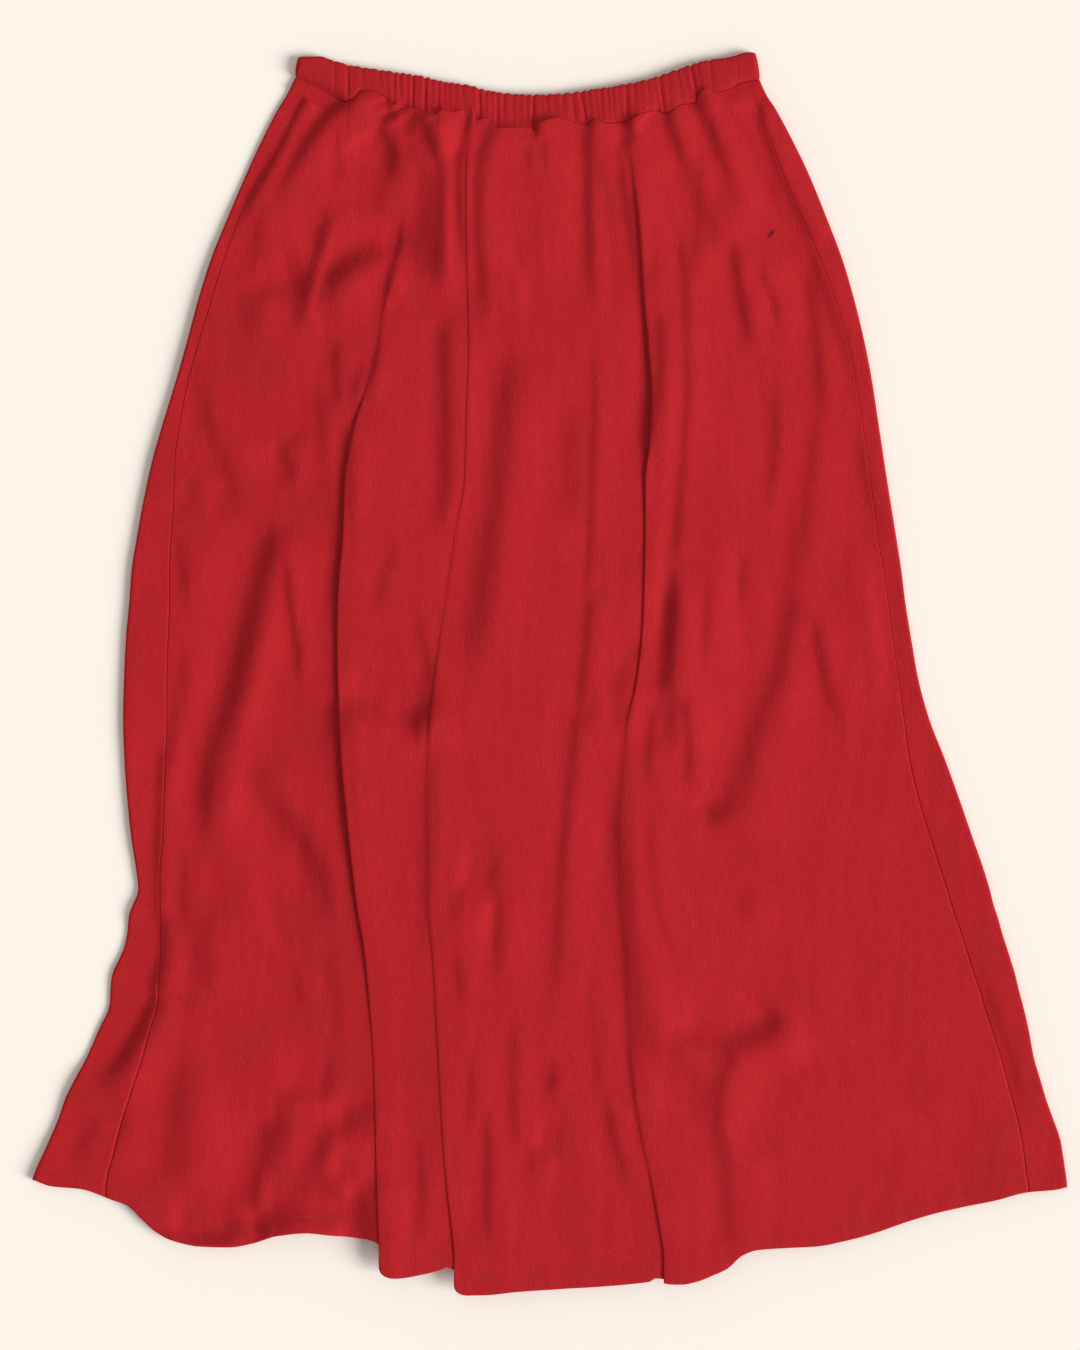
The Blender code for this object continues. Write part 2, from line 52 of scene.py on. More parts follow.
# Each row crosses the laid skirt: its two folded side edges, and the side seams a little inside.
Section = namedtuple("Section", "down left_fold left_seam right_seam right_fold")
SECTIONS = [
    Section(*row) for row in (
        (9, -186.5, -176, 144, 153.5), (18, -189.4, -179, 145, 155.3),
        (31, -195.8, -184, 150, 161), (41, -202, -188, 154, 167.4), (64, -213.8, -202, 163, 179.7),
        (86, -224, -214, 171, 190.5), (123, -239.8, -231, 187, 205.7),
        (152, -251.4, -242, 200, 216.7), (182, -260.8, -251, 211, 225.5),
        (212, -268.8, -260, 220, 232.8), (241, -277, -268, 226, 238.5),
        (271, -286.2, -274, 231, 243.1), (300, -294.5, -278, 235, 247.4),
        (330, -301.1, -279, 239, 252.1), (360, -306.5, -281, 243, 257),
        (382, -310, -282, 247, 260.4), (404, -311.6, -282, 250, 263.1),
        (434, -314.3, -283, 254, 267.9), (463, -315.6, -284, 258, 273),
        (493, -316.3, -284, 262, 281.3), (522, -315.3, -285, 266, 292.6),
        (552, -313.2, -286, 273, 303.5), (582, -310, -287, 282, 313.8),
        (604, -306.6, -289, 289, 321.5), (619, -305, -289, 294, 326),
        (630, -309.2, -289, 297, 328.7), (639, -312.3, -289, 300, 331.8),
        (650, -313.1, -289, 304, 334.8), (663, -316.1, -289, 308, 339),
        (672, -320.2, -289, 311, 341.8), (682, -324.6, -290, 314, 344.8),
        (693, -325.8, -290, 318, 347.4), (704, -326.4, -291, 321, 350.4),
        (722, -334.2, -296, 327, 354.6), (744, -343.8, -302, 334, 358.7),
        (759, -352, -307, 338, 363.2), (774, -359.4, -312, 342, 367.6),
        (789, -364.5, -317, 346, 373), (804, -370.9, -321, 349, 378.2),
        (817, -376.8, -324, 351, 380.4), (826, -380.9, -327, 352, 381.7),
        (832, -383, -328, 353, 382.6), (838, -384.5, -329, 354, 383.2),
    )
]
Point = namedtuple("Point", "across down")


def curve(*pairs):
    return [Point(*pair) for pair in pairs]


WAIST_SEAM = curve(
    (-185, 17.8), (-173, 23.7), (-162, 29.6), (-151, 35.5), (-146, 33.6), (-140, 27.4),
    (-134, 27.2), (-125, 30.3), (-116, 37), (-106, 38.3), (-93, 44), (-84, 46), (-80.5, 42),
    (-72, 43.6), (-65, 41.4), (-58, 43), (-54.5, 50), (-48, 48), (-42.2, 51.4), (-38.9, 55.6),
    (-14, 55.6), (-11, 58.2), (-7.4, 51.8), (6.7, 47.6), (19.2, 51.3), (27.8, 52.6), (34, 47.8),
    (40.7, 51.6), (51.1, 50.8), (57, 50.2), (68, 44.3), (78.4, 41.9), (85.8, 44.4), (96.9, 37.7),
    (107.5, 36.2), (110, 30.5), (116, 25.4), (122, 28.6), (135, 25.2), (140, 21.8), (155, 18.9),
)
BACK_WAIST_SEAM = curve(
    (-184, 19), (-140, 31), (-94, 42), (-22, 53), (57, 47), (108, 33), (150, 20)
)
# The hem drops a step at each lapped fold, so it has one curve for each stretch between them.
HEM = (
    curve(
        (-384, 833), (-369, 838), (-347, 840), (-324, 848), (-313, 852), (-302, 862), (-291, 872),
        (-280, 877.5), (-258, 882), (-236, 882.5), (-220, 880), (-202, 874), (-180, 871.5),
        (-158, 874), (-136, 876.5), (-127, 877),
    ),
    curve((-123, 905), (-114, 905), (-91, 901.5), (-75, 897.5), (-68, 896.5)),
    curve(
        (-63, 917.5), (-47, 917.2), (-25, 915), (9, 912.8), (42, 910.8), (75, 907.4), (84, 905)
    ),
    curve(
        (89, 909.5), (97, 909.5), (108, 907.5), (120, 903), (131, 898), (142, 888.5), (153, 884.5),
        (175, 883), (197, 882), (219, 878), (242, 872), (264, 864.5), (286, 858), (308, 853),
        (330, 848.5), (353, 842.5), (375, 840.5), (384, 838),
    ),
)
BACK_HEM = curve(
    (-383, 834), (-330, 842), (-289, 862), (-207, 866), (-127, 868), (-60, 890), (70, 898),
    (144, 878), (223, 868), (295, 850), (384, 838),
)
# At a lapped fold the cloth on its right lies over the cloth on its left. "across" is the middle of
# the turn, "rise" how far the upper cloth stands over the lower, and "tuck" how far it is pushed
# under. The lap takes up "half_width" on either side, and past it the cloth sinks over "falloff".
Lap = namedtuple("Lap", "down across rise tuck")
Fold = namedtuple("Fold", "half_width falloff laps")


def long_fold(half_width, falloff, *laps):
    return Fold(half_width, falloff, [Lap(*lap) for lap in laps])


FOLDS = (
    long_fold(
        9.5, 42,
        (49, -112, 0.8, 0), (93, -111, 0.8, 0.5), (152, -114, 1, 1), (182, -121.5, 1, 1.5),
        (212, -126.5, 1, 1.5), (244, -134.5, 1.4, 2.2), (278, -144.5, 2.6, 3.8),
        (315, -150.5, 3.6, 4.4), (352, -151.5, 4.2, 5), (404, -155.5, 4.2, 5), (434, -156, 3.2, 5),
        (522, -153, 4.4, 4.8), (559, -149.5, 5, 4.8), (626, -142, 3.4, 4.8),
        (670, -135.5, 2.4, 4.4), (752, -130, 0.8, 3.2), (833, -127.5, 1.3, 3.8),
        (885, -125, 1.6, 4.8),
    ),
    long_fold(
        9.5, 40,
        (49, -59, 1.6, 1), (93, -62, 1.6, 2.6), (152, -61.5, 1.2, 2.6), (212, -60, 1, 2.8),
        (278, -62, 1, 2.8), (315, -63, 1, 2.8), (352, -69.5, 0.8, 2.6), (404, -77, 0.7, 2.4),
        (434, -81.5, 0.9, 2.6), (471, -86.5, 1.2, 2.6), (493, -89, 2.4, 2.2),
        (522, -90.5, 2.2, 1.6), (626, -90.5, 2, 1.5), (670, -86.5, 1.2, 2.6), (752, -82, 1, 2.8),
        (818, -78, 1.1, 2.8), (885, -70, 1.6, 4.2),
    ),
    long_fold(
        11, 52,
        (49, 55, 1.6, 0.5), (93, 61.5, 2.6, 2.5), (138, 66.5, 4, 3), (175, 69, 3.6, 3.5),
        (212, 72.5, 4.2, 4), (256, 76, 4.4, 5), (286, 75.5, 4.4, 6), (315, 72.5, 2.8, 6.5),
        (352, 72.5, 1.8, 6.5), (404, 71, 1.6, 6), (434, 69, 1.5, 5.5), (471, 63, 1.6, 4),
        (493, 57, 2, 2.4), (522, 54.5, 2.2, 1.6), (574, 50.5, 2.4, 1.5), (626, 51.5, 2.6, 1.4),
        (670, 56, 2.4, 1.5), (730, 58.5, 2.2, 1.8), (767, 62, 2.8, 2.2), (796, 66.5, 2.2, 2.2),
        (826, 73, 1.8, 2.6), (885, 85, 1.8, 5),
    ),
)
# Creases: each is a soft trough with a soft ridge beside it, along a curve through places (across,
# down). The cloth climbs by "rise" over about twice "width", to the right of the curve as one goes
# along it. It fades in over "fade_in" and out over "fade_out", and at its far end it is "spread"
# times as wide. The trough and the ridge die away within "reach", which is usually 3.4 widths.
Crease = namedtuple("Crease", "path width rise fade_in fade_out spread reach", defaults=(1, None))
CREASES = [Crease(*row) for row in (
    # The waist, from the left side edge to the right.
    (((-181, 31), (-186, 39), (-196, 60), (-208, 82), (-221, 106), (-231, 127), (-238, 145)),
     4.4, 8.4, 2, 60, 1.1),
    (((-152, 35), (-163, 44), (-172, 55), (-185, 75), (-197, 95), (-212, 129)), 6.4, 10.8, 0, 80),
    (((-213, 108), (-215, 126), (-218, 145)), 4.9, 3.9, 16, 20),
    (((-163, 105), (-166, 127), (-173, 149), (-179, 170), (-183, 189), (-186, 209)),
     6.4, 7.6, 30, 20),
    (((-157, 49), (-156, 78), (-159, 108)), 3.4, 1.7, 20, 30),
    (((-157, 119), (-164, 149), (-172, 175), (-178, 198)), 3.4, -2.1, 30, 20),
    (((-98, 158), (-113, 152), (-126, 149), (-139, 152), (-151, 159), (-164, 169), (-179, 175)),
     13.7, 19, 26, 24, 0.8),
    (((-109, 123), (-111, 139), (-117, 161), (-123.5, 192), (-126, 212), (-130, 235),
      (-135, 263)), 2.5, 2.4, 14, 24),
    (((-176, 170), (-192, 175), (-213, 176), (-232, 175)), 13.7, 13.7, 16, 24),
    (((-213, 127), (-218, 149), (-222, 172)), 6.9, 5.5, 16, 16),
    (((-128, 50), (-121, 61), (-116, 73), (-116, 87), (-118, 102)), 7.8, 12.5, 8, 26),
    (((-117, 154), (-119, 184)), 5.9, 5.3, 10, 12),
    (((-127, 86), (-127, 127)), 11.8, 6.6, 20, 20),
    (((-117, 175), (-121, 189), (-126, 212), (-130, 231)), 2.9, -1.5, 20, 20),
    (((-102, 33), (-98, 43), (-91, 58), (-84, 73), (-80, 87), (-80, 115), (-81, 145), (-83, 169),
      (-86, 186)), 7.3, 8.8, 4, 36),
    (((-93, 71), (-92, 108), (-92, 145), (-93, 175)), 10.8, 7.5, 20, 24),
    (((-94, 53), (-87, 65), (-81, 80)), 5.9, 7.1, 10, 14),
    (((-105, 46), (-101, 64), (-101, 92)), 6.9, 6.9, 8, 24),
    (((-120, 31), (-118, 40), (-117, 50)), 4.4, 5.3, 4, 10),
    (((-75, 86), (-74, 123), (-73, 175)), 2.5, -1.2, 30, 40),
    (((-78, 189), (-78, 226), (-77, 271), (-77, 308), (-80, 337), (-84, 371)), 6.9, 6.2, 24, 50),
    (((-57, 43), (-64, 65), (-67, 87), (-67, 112), (-65, 145), (-64, 182)), 3.9, 4.7, 0, 60),
    (((-41, 52), (-47, 66), (-52, 83), (-53, 106), (-53, 135), (-50, 164), (-47, 212)),
     6.4, 7.6, 0, 60),
    (((-33, 141), (-24, 158), (-18, 179), (-18, 204)), 4.4, -2.6, 20, 30),
    (((-28, 215), (-33, 253), (-37, 293), (-42, 334), (-47, 371), (-52, 411), (-61, 471)),
     14.7, 10.3, 30, 60),
    (((-10, 47), (-10, 65)), 2.5, 3.9, 0, 8),
    (((-13, 64), (-16, 78), (-16, 98)), 2.9, 1.8, 8, 20),
    (((-5, 64), (-3, 78), (-1, 93)), 2.9, 1.8, 8, 20),
    (((30, 47), (28, 71), (28, 108), (30, 145), (31, 204)), 5.4, 5.9, 4, 60),
    (((15, 249), (16, 286), (16, 330), (16, 360)), 9.8, 4.9, 30, 40),
    (((33, 204), (33, 256), (31, 315), (29, 374), (27, 404)), 3.4, 2.1, 50, 20),
    (((36, 71), (40, 90), (44, 112), (49, 147), (52, 182), (53, 215)), 5.9, 3.5, 20, 90, 1.1),
    (((30, 397), (26, 441), (22, 478), (17, 515), (12, 567), (7, 626), (3, 700), (0, 737)),
     4.9, 3.9, 12, 100, 1.2),
    (((56, 38), (58, 53), (67, 61)), 4.9, 7.8, 0, 10),
    (((52, 78), (56, 108), (61, 145), (64, 182)), 4.9, 4.4, 14, 40),
    (((84, 35), (89, 52), (95, 70), (101, 87), (109, 108)), 5.9, 8.2, 0, 50, 1.1),
    (((111, 108), (120, 129), (126, 149)), 7.8, 5.5, 20, 20),
    (((105, 24), (112, 40), (118, 54), (124, 69), (131, 87), (137, 112), (142, 138)),
     6.4, 9.6, 0, 80, 1.1),
    (((135, 135), (138, 160), (141, 182), (147, 206), (152, 226)), 5.9, 6.5, 20, 30),
    (((151, 154), (158, 166), (166, 186), (174, 215)), 4.9, 4.4, 14, 30),
    (((154, 171), (160, 182), (164, 200)), 4.4, -2.6, 16, 20),
    (((127, 31), (144, 59), (160, 92), (176, 124), (188, 154)), 5.9, 3.5, 10, 60, 1.2),
    (((154, 33), (158, 55), (164, 73), (172, 93), (181, 112), (190, 130), (198, 149)),
     4.9, 5.4, 8, 20, 1.1),
    (((189, 142), (200, 167), (207, 188), (216, 210), (223, 231), (229, 256), (234, 286)),
     5.9, 4.7, 20, 90, 1.2),
    (((185, 145), (193, 182), (197, 219), (198, 256)), 4.9, 3.4, 40, 40, 1.2),
    # The hip, and down to the middle.
    (((87, 101), (95, 135), (100, 182), (101, 256), (97, 315), (92, 374)), 4.4, 3.1, 50, 10),
    (((78, 115), (81, 145), (78, 182)), 9.8, 5.9, 24, 24),
    (((105, 68), (109, 108), (108, 145), (105, 178)), 7.8, 5.2, 20, 24),
    (((-28, 138), (-22, 154), (-19, 170)), 5.9, 3.5, 14, 14),
    (((-138, 221), (-142, 241), (-148, 262)), 4.9, 3.9, 14, 14),
    (((92, 376), (91, 404), (89, 434), (86, 463), (82, 480)), 5.9, 11, 34, 18, 1.3),
    (((84, 330), (81, 389), (77, 445)), 3.9, -2.4, 50, 20),
    (((86, 468), (87, 490), (89, 522)), 11, 10, 20, 22, 1, 26),
    (((52, 475), (49, 512)), 9.8, 7, 16, 24),
    (((78, 482), (74, 500), (73, 519), (74, 552)), 4.4, 3.1, 6, 30),
    (((74, 552), (75, 589), (78, 620), (84, 645), (92, 668), (104, 700)), 3.9, 1.6, 20, 50),
    (((98, 475), (101, 490), (103, 511), (102, 552)), 4.9, 3.4, 10, 30, 1.1),
    (((81, 186), (82, 219), (80, 249), (75, 278), (72, 305)), 6.4, 5.7, 20, 30),
    (((191, 249), (195, 278), (191, 323), (184, 363), (176, 404)), 7.3, 4.4, 60, 10, 1.1),
    (((183, 397), (176, 426), (169, 456), (160, 481), (148, 511), (138, 545), (121, 580)),
     9.8, 7.4, 10, 30, 1.2),
    (((127, 549), (119, 576)), 8.8, 7.1, 14, 14),
    (((144, 360), (143, 389), (142, 422)), 5.9, 3.5, 24, 24),
    (((198, 212), (201, 256), (198, 293)), 4.9, 2.9, 30, 50),
    (((223, 277), (231, 300), (240, 334), (249, 369)), 6.4, 3.8, 24, 40, 1.1),
    (((195, 411), (199, 441), (206, 472), (218, 503)), 5.9, 5.9, 24, 30, 1.1),
    (((117, 374), (116, 419), (114, 463)), 5.4, 3.2, 40, 50),
    (((135, 345), (135, 404), (132, 471)), 6.4, -2.5, 50, 50),
    (((235, 360), (240, 404), (246, 448), (252, 493)), 6.9, -4.1, 40, 50),
    (((163, 241), (167, 278), (164, 315), (158, 345)), 5.9, 4.1, 30, 40),
    (((-258, 219), (-259, 244), (-255, 266), (-248, 286), (-238, 308), (-231, 330), (-224, 349)),
     6.9, 4.1, 50, 30),
    (((-200, 286), (-194, 302), (-189, 321)), 6.9, 6.2, 10, 12),
    (((-271, 315), (-263, 327), (-256, 339)), 6.4, 4.5, 14, 16),
    (((-271, 434), (-272, 463), (-278, 493), (-283, 522), (-286, 552)), 6.9, 3.4, 20, 30),
    (((-160, 209), (-158, 235), (-155, 263)), 5.9, 5.3, 16, 14),
    (((-173, 226), (-170, 256), (-168, 286), (-166, 323), (-164, 360)), 7.8, 3.1, 40, 50),
    (((-147, 268), (-147, 293), (-147, 330), (-148, 352)), 4.4, 2.6, 20, 30),
    (((-198, 343), (-208, 371), (-216, 400), (-224, 434), (-232, 466), (-242, 496), (-250, 522),
      (-254, 556), (-253, 604)), 11.8, 12.9, 24, 60),
    (((-256, 626), (-255, 663), (-253, 707)), 9.8, 5.9, 24, 30),
    (((-262, 626), (-265, 693), (-271, 752), (-274, 804)), 6.9, 2.7, 30, 60, 1.2),
    (((-268, 582), (-271, 626), (-269, 670)), 4.9, 2.5, 30, 40),
    (((-200, 404), (-209, 441), (-216, 478), (-226, 517)), 6.9, -3.4, 40, 30),
    (((-195, 374), (-192, 408), (-188, 434), (-185, 471)), 3.9, 3.9, 16, 26, 1.1),
    (((-277, 352), (-272, 382), (-266, 408)), 5.9, 3.5, 20, 20),
    (((-82, 495), (-104, 494), (-121, 490), (-141, 485), (-155, 481), (-164, 478)),
     9.8, 13, 22, 24),
    (((-112, 356), (-121, 386), (-130, 417)), 4.4, 2.2, 20, 20),
    (((-99, 417), (-94, 434), (-90, 451), (-87, 471)), 4.4, 2.6, 8, 14),
    (((-98, 481), (-98, 500), (-98, 519)), 6.4, 7.6, 12, 20),
    (((70, 434), (61, 450), (52, 468), (44, 482)), 7.8, 3.9, 8, 14),
    (((40, 478), (30, 487), (21, 494)), 6.4, 5.1, 8, 10),
    # The lower half.
    (((-286, 500), (-289, 530), (-290, 574), (-291, 619), (-290, 648)), 4.9, 3.9, 30, 20),
    (((-289, 630), (-287, 659), (-290, 679), (-296, 697)), 8.3, 12.5, 20, 10),
    (((-289, 693), (-297, 709), (-307, 728), (-320, 747), (-343, 767)), 9.3, 14.9, 10, 34, 1.1),
    (((-329, 783), (-343, 804), (-357, 824)), 8.8, 5.3, 16, 20),
    (((-308, 777), (-320, 804), (-329, 832)), 5.9, 2.9, 20, 20),
    (((-228, 534), (-213, 548), (-198, 562), (-184, 580), (-173, 599), (-166, 625), (-161, 656)),
     9.8, 9.8, 24, 60),
    (((-169, 656), (-160, 689), (-149, 722)), 5.4, 2.7, 30, 40, 1.1),
    (((-192, 663), (-185, 693), (-172, 722)), 5.4, 2.7, 30, 30),
    (((-219, 596), (-210, 641), (-189, 685)), 5.9, -2.9, 30, 40),
    (((-158, 777), (-172, 774), (-186, 771), (-206, 770)), 10.8, 10.8, 18, 20),
    (((-275, 737), (-275, 789), (-277, 841)), 17.6, 8.8, 40, 20),
    (((-203, 781), (-209, 818), (-223, 857)), 15.7, 14.1, 20, 12),
    (((-147, 867), (-170, 864), (-196, 860), (-218, 858)), 11.8, 14.1, 16, 14),
    (((-164, 774), (-170, 804), (-182, 833), (-195, 858), (-204, 878)), 12.7, 7.6, 16, 6, 1.1),
    (((-128, 806), (-149, 801), (-172, 795)), 8.8, 11, 20, 20),
    (((-147, 777), (-148, 801)), 8.8, 7.1, 10, 10),
    (((-141, 835), (-152, 832), (-169, 829)), 7.3, 8.8, 12, 14),
    (((-141, 833), (-136, 857), (-134, 879)), 9.8, 11, 18, 0),
    (((-222, 876), (-256, 878), (-287, 869)), 7.3, 8.8, 20, 14),
    (((-37, 623), (-56, 620), (-74, 617)), 10.8, 8.6, 14, 14),
    (((-38, 611), (-38, 648), (-41, 689)), 4.9, 3.4, 20, 30),
    (((-28, 707), (-27, 744), (-27, 781), (-25, 811)), 4.9, 2.9, 30, 14),
    (((9, 815), (-3, 812), (-16, 809)), 6.4, 5.1, 10, 10),
    (((7, 743), (1, 762), (-3, 777)), 6.4, 5.1, 16, 20),
    (((-47, 767), (-46, 818), (-47, 881)), 4.4, 3.5, 30, 16, 1.2),
    (((-59, 730), (-58, 767), (-65, 815)), 4.4, 2.2, 30, 30),
    (((-70, 656), (-67, 685), (-61, 707)), 4.9, 2.9, 20, 20),
    (((-98, 789), (-95, 833), (-96, 881)), 4.4, 2.6, 30, 16),
    (((30, 670), (34, 730), (38, 789)), 4.9, 2, 40, 40, 1.2),
    (((40, 767), (46, 796), (52, 818), (62, 848)), 4.9, 3.9, 20, 30, 1.1),
    (((44, 537), (53, 582), (59, 641), (64, 700), (67, 774)), 9.8, 4.9, 40, 50),
    (((73, 700), (78, 737), (89, 767)), 4.4, 2.2, 30, 30, 1.2),
    (((176, 706), (166, 718), (152, 727), (133, 732), (114, 730), (93, 727), (82, 726)),
     9.3, 12, 16, 26),
    (((139, 736), (130, 749), (125, 767), (123, 787), (118, 810)), 6.9, 5.5, 8, 24),
    (((126, 789), (130, 818), (132, 852), (131, 882)), 6.9, 3.4, 20, 6),
    (((110, 737), (107, 767), (108, 799)), 8.8, 4.4, 20, 20),
    (((281, 795), (259, 778), (234, 764), (204, 753), (170, 747)), 8.8, 6.2, 40, 24),
    (((146, 614), (144, 629), (139, 644)), 6.9, 4.1, 14, 14),
    (((172, 815), (148, 814), (124, 793)), 6.4, 4.5, 24, 16),
    (((308, 648), (318, 679), (329, 707), (337, 730), (343, 749), (349, 768), (360, 784)),
     4.9, 2.5, 50, 14, 1.1),
)]


def through(knots, values, at):
    """A smooth curve through the knots that doesn't swing past them, held level beyond them."""
    knots = np.asarray(knots, float)
    values = np.asarray(values, float)
    rises = np.diff(values) / np.diff(knots)
    product = rises[:-1] * rises[1:]
    mean = 2 * product / np.where(product > 0, rises[:-1] + rises[1:], 1.0)
    slopes = np.concatenate([rises[:1], np.where(product > 0, mean, 0.0), rises[-1:]])
    at = np.clip(np.asarray(at, float), knots[0], knots[-1])
    before = np.clip(np.searchsorted(knots, at) - 1, 0, len(knots) - 2)
    step = knots[before + 1] - knots[before]
    t = (at - knots[before]) / step
    start = values[before] * (1 + 2 * t) * (1 - t) ** 2 + slopes[before] * step * t * (1 - t) ** 2
    end = values[before + 1] * (3 - 2 * t) * t**2 - slopes[before + 1] * step * (1 - t) * t**2
    return start + end


def column(rows, name, down):
    return through([row.down for row in rows], [getattr(row, name) for row in rows], down)


def edge_down(points, across):
    return through([p.across for p in points], [p.down for p in points], across)


def ease(t):
    t = np.clip(t, 0.0, 1.0)
    return t * t * (3 - 2 * t)


def mix(start, end, share):
    return start + (end - start) * share


def sums(steps):
    """How far each step ends from the start of the first, with 0 before them all."""
    return np.concatenate([[0.0], np.cumsum(steps)])


# Every point of the upper layer has a place u: -1 to 0 is the left wrap, 0 to 7 the front panel,
# with a stretch of cloth at each even number and a lap at each odd one, and 7 to 8 the right wrap.
LAST_SEAM = 2 * len(FOLDS) + 1
ROLL_RADIUS = 1.7


def roll_top(side, down):
    """Where the folded side edge has turned up and over, at one side: -1 is left and 1 is right."""
    name = "left_fold" if side < 0 else "right_fold"
    return column(SECTIONS, name, down) - side * (ROLL_RADIUS + CLOTH / 2)


def through_lap(number, u):
    """-1 where the lap starts on its left, and 1 where it ends."""
    return 2 * (u - 2 * number) - 3


def across_at(u, down):
    """Across at the places u and the distances down, two arrays of one shape."""
    lines = [roll_top(-1, down), column(SECTIONS, "left_seam", down)]
    for fold in FOLDS:
        middle = column(fold.laps, "across", down)
        lines += [middle - fold.half_width, middle + fold.half_width]
    lines += [column(SECTIONS, "right_seam", down), roll_top(1, down)]
    lines = np.stack(lines)
    part = np.clip(np.floor(u).astype(int) + 1, 0, len(lines) - 2)
    start = np.take_along_axis(lines, part[None], 0)[0]
    end = np.take_along_axis(lines, part[None] + 1, 0)[0]
    across = mix(start, end, u + 1 - part)
    for number, fold in enumerate(FOLDS):
        s = through_lap(number, u)
        tuck = column(fold.laps, "tuck", down) * np.sin(math.pi * s)
        across = across - np.where(abs(s) < 1, tuck, 0.0)
    return across


def side_height(number, across, down):
    """How high the cloth right of a lap still stands, falling away from the lap."""
    if number < 0:
        return np.zeros_like(down)
    fold = FOLDS[number]
    past = across - column(fold.laps, "across", down) - fold.half_width
    return lap_top(number, down) * np.exp(-np.maximum(past, 0.0) / fold.falloff)


def lap_foot(number, down):
    fold = FOLDS[number]
    start = column(fold.laps, "across", down) - fold.half_width
    return side_height(number - 1, start, down)


def lap_top(number, down):
    return lap_foot(number, down) + column(FOLDS[number].laps, "rise", down)


# A lap with a full tuck turns over inside this much of its half width.
FULL_TUCK = 4.0
TURN_WIDTH = 0.6


def lap_height(u, across, down):
    height = np.zeros_like(down)
    for number, fold in enumerate(FOLDS):
        s = through_lap(number, u)
        plain = ease((s + 1) / 2)
        doubled = ease((s + TURN_WIDTH) / (2 * TURN_WIDTH))
        lapped = ease(column(fold.laps, "tuck", down) / FULL_TUCK)
        low, high = lap_foot(number, down), lap_top(number, down)
        step = mix(low, high, mix(plain, doubled, lapped))
        height = np.where(s >= -1, step, height)
        height = np.where(s > 1, side_height(number, across, down), height)
    return height


CREASE_STEP = 6.0
REACH_IN_WIDTHS = 3.4
SHORTEST_REACH, LONGEST_REACH = 12, 28
# A crease is nothing at this many times its reach.
CREASE_END = 2.5


def crease_reach(crease):
    usual = round(REACH_IN_WIDTHS * crease.width)
    return crease.reach or min(max(usual, SHORTEST_REACH), LONGEST_REACH)


def crease_height(crease, across, down):
    """A soft trough and the ridge beside it, fading out at both ends of their curve."""
    path = np.array(crease.path, float)
    knots = sums(np.hypot(*np.diff(path, axis=0).T))
    along = np.linspace(0.0, knots[-1], int(knots[-1] / CREASE_STEP) + 3)
    path = np.stack([through(knots, path[:, k], along) for k in (0, 1)], axis=1)
    reach = CREASE_END * crease_reach(crease) * max(crease.spread, 1.0)
    near = (across > path[:, 0].min() - reach) & (across < path[:, 0].max() + reach)
    near &= (down > path[:, 1].min() - reach) & (down < path[:, 1].max() + reach)
    spots = np.stack([across[near], down[near]], axis=1)
    away = np.full(len(spots), np.inf)
    side = np.zeros(len(spots))
    place = np.zeros(len(spots))
    for i in range(len(path) - 1):
        run = path[i + 1] - path[i]
        t = np.clip((spots - path[i]) @ run / (run @ run), 0.0, 1.0)
        off = spots - path[i] - t[:, None] * run
        distance = np.hypot(off[:, 0], off[:, 1])
        closer = distance < away
        off_right = (off[:, 0] * run[1] - off[:, 1] * run[0]) / np.hypot(*run)
        away = np.where(closer, distance, away)
        side = np.where(closer, off_right, side)
        place = np.where(closer, along[i] + t * (along[i + 1] - along[i]), place)
    fade = ease(place / crease.fade_in) if crease.fade_in else 1.0
    if crease.fade_out:
        fade = fade * ease((along[-1] - place) / crease.fade_out)
    spread = 1 + (crease.spread - 1) * place / along[-1]
    climb = side / np.hypot(side, crease.width * spread)
    waning = np.exp(-((away / crease_reach(crease) / spread) ** 2))
    height = np.zeros_like(down)
    height[near] = crease.rise / 2 * fade * climb * waning
    return height


def ripple(seed, across, down, wide, long):
    """Smooth random waves between -1 and 1, about as wide and long as given."""
    columns, rows, far = 96, 88, 400.0
    lattice = np.random.default_rng(seed).uniform(-1.0, 1.0, (columns + 1, rows + 1))
    x, y = across / wide + far, down / long + far
    i, j = np.floor(x).astype(int), np.floor(y).astype(int)
    fx, fy = ease(x - i), ease(y - j)
    i, j = i % columns, j % rows
    upper = lattice[i, j] * (1 - fx) + lattice[i + 1, j] * fx
    lower = lattice[i, j + 1] * (1 - fx) + lattice[i + 1, j + 1] * fx
    return upper * (1 - fy) + lower * fy


# The upper layer lies loose on the lower one, highest along its middle and pinched at the waist.
LOWEST_TOP_LAYER = 2.2
EDGE_LOFT = 2.6
MIDDLE_LOFT = 7.6
LOFT_FULLNESS = 0.8
SEAM_PINCH = 1.6
SEAM_PINCH_LENGTH = 7.0
FLOOR_SOFTNESS = 0.5
# Slack linen is never level: long low waves, and short ones that run down the cloth at a slant.
Wave = namedtuple("Wave", "seed height wide long slant")
WAVES = (
    Wave(3, 0.55, 34.0, 95.0, 0.0),
    Wave(5, 0.22, 9.0, 48.0, 0.1),
    Wave(8, 0.12, 5.0, 30.0, -0.06),
)
# The turned hem stands a little higher up to its line of stitches, which pulls a fine groove.
HEM_DEPTH = 13.0
HEM_THICKNESS = 0.45
HEM_STEP_WIDTH = 1.5
STITCH_INSET = 1.0
STITCH_GROOVE = 0.35
STITCH_GROOVE_WIDTH = 1.1


